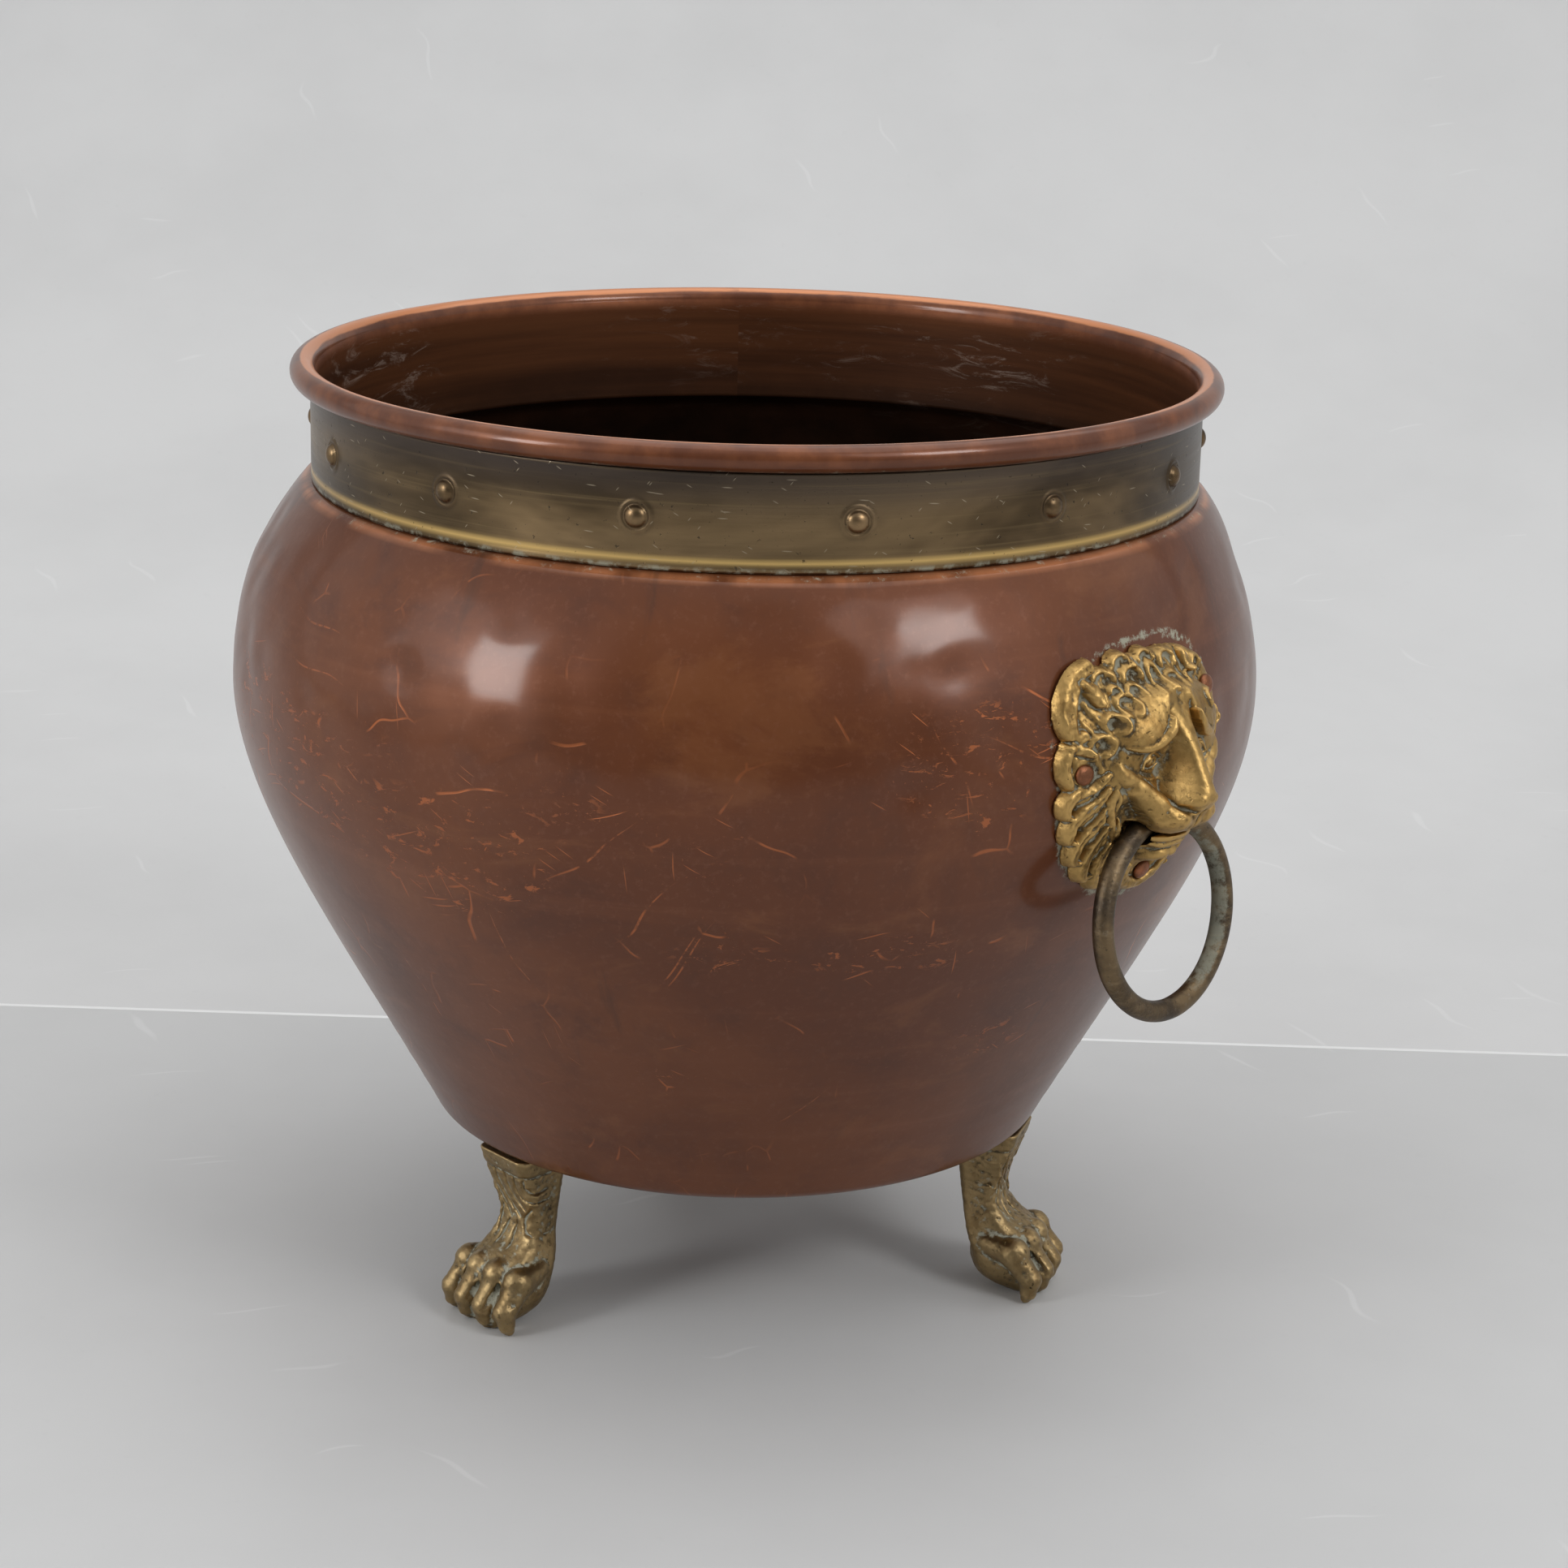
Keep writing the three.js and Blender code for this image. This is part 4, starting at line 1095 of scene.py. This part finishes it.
def copper_marks(n, place, flat):
    """Scratches, hairlines, chips and specks, most of them where the wear map says."""
    cluster = n.plus(n.attribute("wear"), n.times(n.noise(place, 24.0, 4.0), 0.9))
    long_marks = n.scratches(flat, [(10, 0.26, 0.0052, 0.07, 0.030), (-38, 0.17, 0.0042, 0.07, 0.030),
                                    (64, 0.16, 0.0040, 0.06, 0.024)], 1.0)
    short_marks = n.scratches(flat, [(-14, 0.070, 0.0030, 0.10, 0.016), (78, 0.055, 0.0026, 0.08, 0.012),
                                     (32, 0.036, 0.0022, 0.10, 0.010)], 4.0)
    broken = n.step(n.noise(n.scaled(flat, (160.0, 160.0, 1.0)), 1.0, 3.0, 0.7), 0.42, 0.56)
    hairs = n.times(n.hairlines(flat, 34.0, 0.020, 0.022), n.step(n.noise(place, 46.0, 3.0), 0.56, 0.62))
    chips = n.step(n.noise(n.scaled(flat, (100.0, 240.0, 1.0)), 1.0, 7.0, 0.72, 0.9), 0.575, 0.615)
    specks = n.step(n.noise(place, 900.0, 2.0, 0.5), 0.69, 0.74)
    return n.most(n.times(long_marks, broken, n.step(cluster, 0.62, 0.80)),
                  n.times(short_marks, n.step(cluster, 0.74, 0.95)),
                  n.times(hairs, n.step(cluster, 0.66, 0.9)), n.times(chips, n.step(cluster, 0.93, 1.10)),
                  n.times(specks, n.step(cluster, 0.7, 1.2), 0.6))


def patinated_copper():
    n = Nodes("patinated copper")
    place, flat = n.place(), n.wrap(BELLY[0] * MM)
    rim, inner, crest = n.attribute("rim"), n.attribute("inner"), n.attribute("crest")
    residue, deep_shade = n.attribute("residue"), n.attribute("deep_shade")
    broad = n.noise(place, 9.0, 3.0, 0.55)
    fine = n.noise(place, 60.0, 6.0, 0.6)
    dusty = n.noise(place, 420.0, 4.0, 0.65)
    streak = n.noise(n.scaled(flat, (3.0, 90.0, 1.0)), 1.0, 5.0, 0.6)
    colour = n.mix(n.step(broad, 0.32, 0.68), (0.104, 0.030, 0.0105), (0.150, 0.046, 0.0150))
    colour = n.mix(n.times(n.step(fine, 0.45, 0.75), 0.45), colour, (0.088, 0.030, 0.014))
    colour = n.mix(n.times(n.step(streak, 0.52, 0.8), 0.35), colour, (0.22, 0.075, 0.030))
    cloudy = n.noise(n.scaled(flat, (11.0, 24.0, 1.0)), 1.0, 6.0, 0.66, 0.6)
    colour = n.mix(n.times(n.step(cloudy, 0.52, 0.70), 0.6), colour, (0.070, 0.0225, 0.0115))
    colour = n.mix(n.times(n.step(cloudy, 0.46, 0.34), 0.4), colour, (0.215, 0.078, 0.028))
    colour = n.mix(n.times(n.step(dusty, 0.5, 0.8), 0.22), colour, (0.24, 0.10, 0.06))
    bright = n.times(copper_marks(n, place, flat), n.without(inner), n.without(rim))
    colour = n.mix(n.times(bright, 0.8), colour, (0.44, 0.135, 0.048))
    # Bright copper along the ledge under the band: worn copper, and partly a painted highlight along its
    # ridge.
    ledge = n.times(n.attribute("ledge"), n.step(n.noise(n.scaled(flat, (40, 40, 1)), 1.0, 5.0), 0.34, 0.58))
    colour = n.mix(n.times(ledge, 0.8), colour, (0.50, 0.19, 0.080))
    # A few dark drips and stains.
    stain = n.step(n.noise(n.scaled(flat, (46.0, 12.0, 1.0)), 1.0, 5.0, 0.62, 0.5), 0.60, 0.72)
    colour = n.mix(n.times(stain, 0.45), colour, (0.060, 0.024, 0.013))
    # The rolled rim: rubbed bright along its crest, dark below.
    rim_colour = n.mix(n.step(fine, 0.35, 0.7), (0.105, 0.033, 0.014), (0.205, 0.068, 0.026))
    rub_noise = n.noise(n.scaled(flat, (14, 160, 1)), 1.0, 6.0, 0.65)
    rubbed = n.step(n.plus(crest, n.times(rub_noise, 1.3)), 1.24, 1.60)
    rim_colour = n.mix(n.times(rubbed, 0.9), rim_colour, (0.56, 0.215, 0.085))
    colour = n.mix(rim, colour, rim_colour)
    # Inside: a brown wall with grey limescale streaks, made darker downwards by painted shade.
    lime = n.times(n.step(n.noise(n.scaled(flat, (34, 150, 1)), 1.0, 8.0, 0.80, 0.9), 0.53, 0.66),
                   n.step(n.noise(place, 11.0, 4.0, 0.6), 0.47, 0.62))
    inner_colour = n.mix(n.step(streak, 0.3, 0.75), (0.046, 0.0160, 0.0065), (0.120, 0.042, 0.0155))
    inner_colour = n.mix(n.times(lime, 0.55), inner_colour, (0.36, 0.27, 0.22))
    shaded_floor_colour = n.mix(n.step(fine, 0.35, 0.7), (0.020, 0.010, 0.006), (0.038, 0.017, 0.009))
    inner_colour = n.mix(deep_shade, inner_colour, shaded_floor_colour)
    colour = n.mix(n.times(inner, n.without(rim)), colour, inner_colour)
    # Pale green residue round the masks, along the band and under the rim.
    crumbs = n.noise(place, 190.0, 8.0, 0.80)
    patchy = n.step(n.plus(residue, n.times(crumbs, 1.9)), 1.38, 1.62)
    patchy = n.times(patchy, n.step(residue, 0.12, 0.42))
    colour = n.mix(n.times(patchy, 0.8), colour, (0.38, 0.39, 0.31))
    metallic = n.blend(patchy, n.blend(bright, 0.34, 0.95), 0.0)
    rough = n.plus(0.30, n.times(n.noise(place, 30.0, 5.0, 0.65), 0.20))
    rough = n.blend(n.most(bright, inner), rough, 0.46)
    rough = n.blend(patchy, rough, 0.85)
    height = n.plus(n.times(fine, 0.6), n.times(dusty, 0.12))
    height = n.less(height, n.times(bright, 0.5))
    normal = n.bump(height, 0.00022, 0.8)
    gloss = n.times(n.without(n.most(patchy, inner)), 0.48)
    return n.finish(colour, metallic, rough, normal, gloss, 0.14)


def tarnished_brass():
    n = Nodes("tarnished brass")
    place, flat = n.place(), n.wrap(BAND["inner"] * MM)
    dome, dirt, glint_strip = n.attribute("dome"), n.attribute("dirt"), n.attribute("glint_strip")
    height = n.attribute("height")
    brushed = n.noise(n.scaled(flat, (6.0, 520.0, 1.0)), 1.0, 5.0, 0.65)
    cloudy = n.noise(n.scaled(flat, (9.0, 26.0, 1.0)), 1.0, 4.0, 0.6, 0.5)
    fine = n.noise(place, 240.0, 5.0, 0.7)
    colour = n.mix(n.step(cloudy, 0.34, 0.68), (0.066, 0.045, 0.025), (0.265, 0.180, 0.094))
    top = n.times(n.step(n.plus(height, n.times(cloudy, 0.5)), 0.72, 1.25), 0.75)
    colour = n.mix(top, colour, (0.062, 0.052, 0.050))
    colour = n.mix(n.times(n.step(brushed, 0.5, 0.85), 0.5), colour, (0.28, 0.20, 0.10))
    # A painted highlight: a bright gold strip just above the lower edge, standing in for a reflection.
    colour = n.mix(n.times(glint_strip, n.step(cloudy, 0.1, 0.45), 0.95), colour, (0.68, 0.46, 0.17))
    colour = n.mix(n.times(dome, n.step(fine, 0.3, 0.7), 0.35), colour, (0.36, 0.22, 0.11))
    dark = n.times(n.math("MINIMUM", dirt, 1.0), n.step(fine, 0.25, 0.6), 0.55)
    colour = n.mix(dark, colour, (0.035, 0.028, 0.022))
    pits = n.times(n.step(n.noise(place, 620.0, 3.0, 0.6), 0.66, 0.72), 0.7)
    colour = n.mix(pits, colour, (0.03, 0.025, 0.02))
    marks = n.scratches(flat, [(3, 0.020, 0.0022, 0.14, 0.004), (30, 0.012, 0.0020, 0.12, 0.004),
                               (-50, 0.009, 0.0018, 0.10, 0.004)], 6.0)
    colour = n.mix(n.times(marks, 0.5), colour, (0.50, 0.42, 0.30))
    edge_residue = n.times(n.step(height, 0.07, 0.015), n.step(fine, 0.45, 0.62))
    colour = n.mix(n.times(edge_residue, 0.6), colour, (0.38, 0.40, 0.32))
    rough = n.plus(0.26, n.times(brushed, 0.16))
    rough = n.blend(n.most(dark, pits), rough, 0.6)
    relief = n.plus(n.times(brushed, 0.5), n.times(fine, 0.25))
    normal = n.bump(n.less(relief, n.times(pits, 0.5)), 0.00016, 0.7)
    return n.finish(colour, n.blend(edge_residue, 0.92, 0.1), rough, normal)


def cast_brass(name, gold, shade, pale, dirt_from, chalk_from, polish):
    """Polished high places, brown hollows and pale residue in the deepest ones. dirt_from, chalk_from
    and polish are the depths in mm, in a recess above 0, where each of the three starts."""
    n = Nodes(name)
    place = n.place()
    fine, broad = n.attribute("fine"), n.attribute("broad")
    coarse = n.noise(place, 55.0, 4.0, 0.6)
    mottle = n.noise(place, 120.0, 5.0, 0.65)
    grit = n.noise(place, 330.0, 6.0, 0.72)
    speck = n.noise(place, 1000.0, 3.0, 0.6)
    hollow = n.plus(n.times(fine, 6.5), n.times(broad, 1.3))
    rough_hollow = n.plus(hollow, n.plus(n.times(n.less(grit, 0.5), 2.6), n.times(n.less(coarse, 0.5), 1.2)))
    high = n.step(rough_hollow, polish, polish - 0.9)
    base = n.mix(n.step(coarse, 0.35, 0.7), gold, tuple(0.74 * v for v in gold))
    tarnish = (0.52 * gold[0], 0.44 * gold[1], 0.36 * gold[2])
    base = n.mix(n.times(n.step(mottle, 0.48, 0.66), 0.45), base, tarnish)
    base = n.mix(n.times(high, 0.7), base, tuple(min(1.0, 1.3 * v) for v in gold))
    dirt = n.step(rough_hollow, dirt_from, dirt_from + 0.85)
    colour = n.mix(n.times(dirt, 0.88), base, shade)
    crumbs = n.times(n.less(n.noise(place, 210.0, 8.0, 0.8), 0.5), 5.5)
    chalk = n.step(n.plus(hollow, crumbs), chalk_from, chalk_from + 0.8)
    chalk = n.times(chalk, n.step(hollow, chalk_from - 0.9, chalk_from), 0.8)
    colour = n.mix(chalk, colour, pale)
    holes = n.step(n.noise(place, 430.0, 2.0, 0.5), 0.66, 0.72)
    pits = n.times(n.most(n.step(speck, 0.66, 0.73), n.times(holes, n.step(coarse, 0.42, 0.6))), 0.75)
    colour = n.mix(pits, colour, (0.035, 0.024, 0.013))
    metallic = n.blend(n.most(n.times(dirt, 0.7), chalk), 1.0, 0.1)
    rough = n.plus(0.30, n.times(grit, 0.24))
    rough = n.blend(n.most(n.times(dirt, 0.8), chalk), rough, 0.85)
    relief = n.plus(n.times(grit, 0.6), n.times(mottle, 0.8))
    relief = n.less(relief, n.times(pits, 0.7))
    return n.finish(colour, metallic, rough, n.bump(relief, 0.00036, 0.9))


def ring_brass():
    n = Nodes("dull ring brass")
    place = n.place()
    inward, far = n.attribute("inward"), n.attribute("far")
    cloud = n.noise(place, 90.0, 5.0, 0.6)
    grit = n.noise(place, 480.0, 6.0, 0.7)
    wiped = n.noise(n.scaled(place, (60.0, 60.0, 300.0)), 1.0, 5.0, 0.7)
    colour = n.mix(n.step(cloud, 0.35, 0.68), (0.070, 0.052, 0.036), (0.175, 0.122, 0.068))
    colour = n.mix(n.times(n.step(wiped, 0.5, 0.7), 0.5), colour, (0.27, 0.20, 0.12))
    colour = n.mix(n.times(n.step(grit, 0.55, 0.72), 0.5), colour, (0.24, 0.20, 0.15))
    specks = n.step(n.noise(place, 700.0, 3.0, 0.6), 0.62, 0.72)
    colour = n.mix(n.times(specks, 0.6), colour, (0.035, 0.028, 0.022))
    crumbs = n.times(n.noise(place, 230.0, 8.0, 0.82), 1.8)
    clouded = n.times(n.noise(place, 60.0, 3.0), 0.7)
    where = n.times(inward, n.plus(0.18, n.times(far, 0.5)))
    chalk = n.step(n.plus(n.plus(where, crumbs), clouded), 1.66, 1.98)
    colour = n.mix(n.times(chalk, 0.62), colour, (0.30, 0.31, 0.25))
    rough = n.blend(chalk, n.plus(0.30, n.times(grit, 0.26)), 0.85)
    relief = n.plus(n.times(cloud, 0.8), n.times(n.plus(grit, wiped), 0.5))
    return n.finish(colour, n.blend(chalk, 0.9, 0.2), rough, n.bump(relief, 0.0004, 0.9))


def small_metal(name, colour, worn, metallic, rough, scale):
    n = Nodes(name)
    place = n.place()
    cloud, grit = n.noise(place, scale, 5.0, 0.6), n.noise(place, scale * 4, 5.0, 0.7)
    mixed = n.mix(n.step(cloud, 0.35, 0.65), colour, worn)
    mixed = n.mix(n.times(n.step(grit, 0.6, 0.75), 0.6), mixed, tuple(0.25 * v for v in colour))
    roughness = n.plus(rough, n.times(grit, 0.2))
    return n.finish(mixed, metallic, roughness, n.bump(grit, 0.0002, 0.8))


# ------------------------------------------------------------------ stage
FLOOR_CREASE = 0.2085             # metres behind the pot's axis, where the floor ends
FLOOR_HALF_WIDTH, FLOOR_COLUMNS = 4.0, 9
CREASE_SLANT = 0.024


def studio_floor():
    """A pale floor that ends behind the pot, and a backdrop that sweeps up from there."""
    rows = [(-3.0, 0.0), (-0.6, 0.0), (0.0, 0.0), (FLOOR_CREASE, 0.0)]
    sweep = [(FLOOR_CREASE + 0.001, 0.0006)]
    for t in np.arange(1, 25) / 24:
        sweep.append((FLOOR_CREASE + 2.6 * t - 0.5 * t * t, 0.05 * t + 2.6 * t**3))
    things = []
    for name, line in (("studio_floor", rows), ("studio_backdrop", sweep)):
        points = [(side, back - CREASE_SLANT * side * (back > 0.1), up) for back, up in line
                  for side in np.linspace(-FLOOR_HALF_WIDTH, FLOOR_HALF_WIDTH, FLOOR_COLUMNS)]
        corners = np.array([0, 1, FLOOR_COLUMNS + 1, FLOOR_COLUMNS])
        faces = [r * FLOOR_COLUMNS + c + corners for r in range(len(line) - 1)
                 for c in range(FLOOR_COLUMNS - 1)]
        things.append(make_mesh(name, rotated(points, math.radians(VIEW_TURN)) / MM, faces))
    paint(things[:1], floor_paint("floor paint", (0.525, 0.527, 0.527), 0.42))
    paint(things[1:], floor_paint("backdrop paint", (0.58, 0.58, 0.58), 0.7))


def floor_paint(name, colour, rough):
    n = Nodes(name)
    place = n.place()
    cloud = n.noise(place, 5.0, 4.0, 0.6)
    grit = n.noise(place, 160.0, 4.0, 0.6)
    tint = n.mix(n.step(cloud, 0.3, 0.75), colour, tuple(0.94 * v for v in colour))
    tint = n.mix(n.times(n.step(grit, 0.6, 0.8), 0.1), tint, tuple(0.7 * v for v in colour))
    marks = n.scratches(place, [(20, 0.20, 0.016, 0.10, 0.03), (-60, 0.14, 0.012, 0.08, 0.03)], 9.0)
    tint = n.mix(n.times(marks, 0.25), tint, (0.7, 0.7, 0.7))
    return n.finish(tint, 0.0, n.plus(rough, n.times(cloud, 0.1)), n.bump(grit, 0.0001, 0.5))


def softbox(name, turn, rise, distance, size, power, colour=(1, 1, 1)):
    """A square light: turn is to the right of the camera's direction, as seen from the pot."""
    light = bpy.data.lights.new(name, "AREA")
    light.shape = "RECTANGLE"
    light.size, light.size_y = size
    light.energy, light.color = power, colour
    thing = bpy.data.objects.new(name, light)
    bpy.context.scene.collection.objects.link(thing)
    way = math.radians(CAMERA_AZIMUTH + turn)
    up = math.radians(rise)
    aim = Vector((0, 0, 0.2))
    back = Vector((math.cos(way) * math.cos(up), math.sin(way) * math.cos(up), math.sin(up)))
    thing.location = aim + back * distance
    thing.rotation_euler = back.to_track_quat("Z", "Y").to_euler()
    return thing


def lights():
    softbox("left_softbox", -55.8, 20.7, 1.9, (0.40, 0.62), 8.5)
    softbox("right_softbox", 47.4, 32.4, 1.9, (0.50, 0.50), 8.5)
    softbox("left_wall", -66, 24, 2.3, (1.3, 1.1), 5.2, (0.93, 0.97, 1.0))
    softbox("right_wall", 40, 36, 2.3, (1.1, 0.9), 3.6, (0.95, 0.98, 1.0))
    softbox("overhead", 160, 78, 2.2, (2.6, 2.6), 24)
    world = bpy.data.worlds.new("studio")
    bpy.context.scene.world = world
    world.use_nodes = True
    tree = world.node_tree
    background = tree.nodes["Background"]
    direction = tree.nodes.new("ShaderNodeTexCoord")
    dot = tree.nodes.new("ShaderNodeVectorMath")
    dot.operation = "DOT_PRODUCT"
    tree.links.new(direction.outputs["Generated"], dot.inputs[0])
    way = math.radians(CAMERA_AZIMUTH)
    dot.inputs[1].default_value = (math.cos(way), math.sin(way), 0.0)
    ramp = tree.nodes.new("ShaderNodeMapRange")
    ramp.interpolation_type = "SMOOTHSTEP"
    for key, value in (("From Min", 0.45), ("From Max", 0.95), ("To Min", 0.72), ("To Max", 0.15)):
        ramp.inputs[key].default_value = value
    tree.links.new(dot.outputs["Value"], ramp.inputs["Value"])
    tree.links.new(ramp.outputs[0], background.inputs["Strength"])
    background.inputs["Color"].default_value = (1.0, 1.0, 1.0, 1)


# ------------------------------------------------------------------ camera
VIEW_TURN = 42.3            # the view direction is +Y turned by this, in degrees
CAMERA_PLACE = (0.7932, -0.8511, 0.5120)
CAMERA_AZIMUTH = math.degrees(math.atan2(CAMERA_PLACE[1], CAMERA_PLACE[0]))
CAMERA_PITCH, CAMERA_ROLL = 0.2886, 0.0238
CAMERA_LENS, SENSOR = 82.35, 36.0


def camera():
    data = bpy.data.cameras.new("camera")
    data.lens, data.sensor_width = CAMERA_LENS, SENSOR
    data.clip_start, data.clip_end = 0.05, 30
    thing = bpy.data.objects.new("camera", data)
    bpy.context.scene.collection.objects.link(thing)
    c, s = math.cos(CAMERA_PITCH), math.sin(CAMERA_PITCH)
    right, down, ahead = np.array((1, 0, 0)), np.array((0, -s, -c)), np.array((0, c, -s))
    cr, sr = math.cos(CAMERA_ROLL), math.sin(CAMERA_ROLL)
    right, down = cr * right - sr * down, sr * right + cr * down
    turn = math.radians(VIEW_TURN)
    matrix = Matrix.Identity(4)
    for k, axis in enumerate((right, -down, -ahead)):
        for row, value in enumerate(rotated(axis, turn)):
            matrix[row][k] = value
    matrix.translation = Vector(CAMERA_PLACE)
    thing.matrix_world = matrix
    bpy.context.scene.camera = thing


# ------------------------------------------------------------------ the scene
def build():
    paint([pot_shell()], patinated_copper())
    paint([rim_wire()], small_metal("iron wire", (0.09, 0.075, 0.065), (0.16, 0.09, 0.06), 0.8, 0.5, 300))
    paint([neck_band()], tarnished_brass())
    paint(lion_masks(), cast_brass("lion brass", (0.44, 0.280, 0.100), (0.050, 0.034, 0.018),
                                   (0.36, 0.35, 0.27), 0.0, 0.52, -0.15))
    paint(drop_rings(), ring_brass())
    paint(mask_rivets(), small_metal("worn copper", (0.34, 0.13, 0.065), (0.20, 0.085, 0.045),
                                     0.9, 0.28, 260))
    feet_and_screws = paw_feet()
    paint([thing for thing in feet_and_screws if thing.name.startswith("foot")],
          cast_brass("foot brass", (0.33, 0.235, 0.115), (0.060, 0.048, 0.032), (0.46, 0.46, 0.37),
                     -0.15, 0.16, -0.45))
    paint([thing for thing in feet_and_screws if thing.name.startswith("screw")],
          small_metal("screw brass", (0.40, 0.28, 0.12), (0.24, 0.17, 0.08), 0.95, 0.35, 400))
    studio_floor()
    lights()
    camera()
    bpy.context.scene.view_settings.view_transform = "Standard"


build()
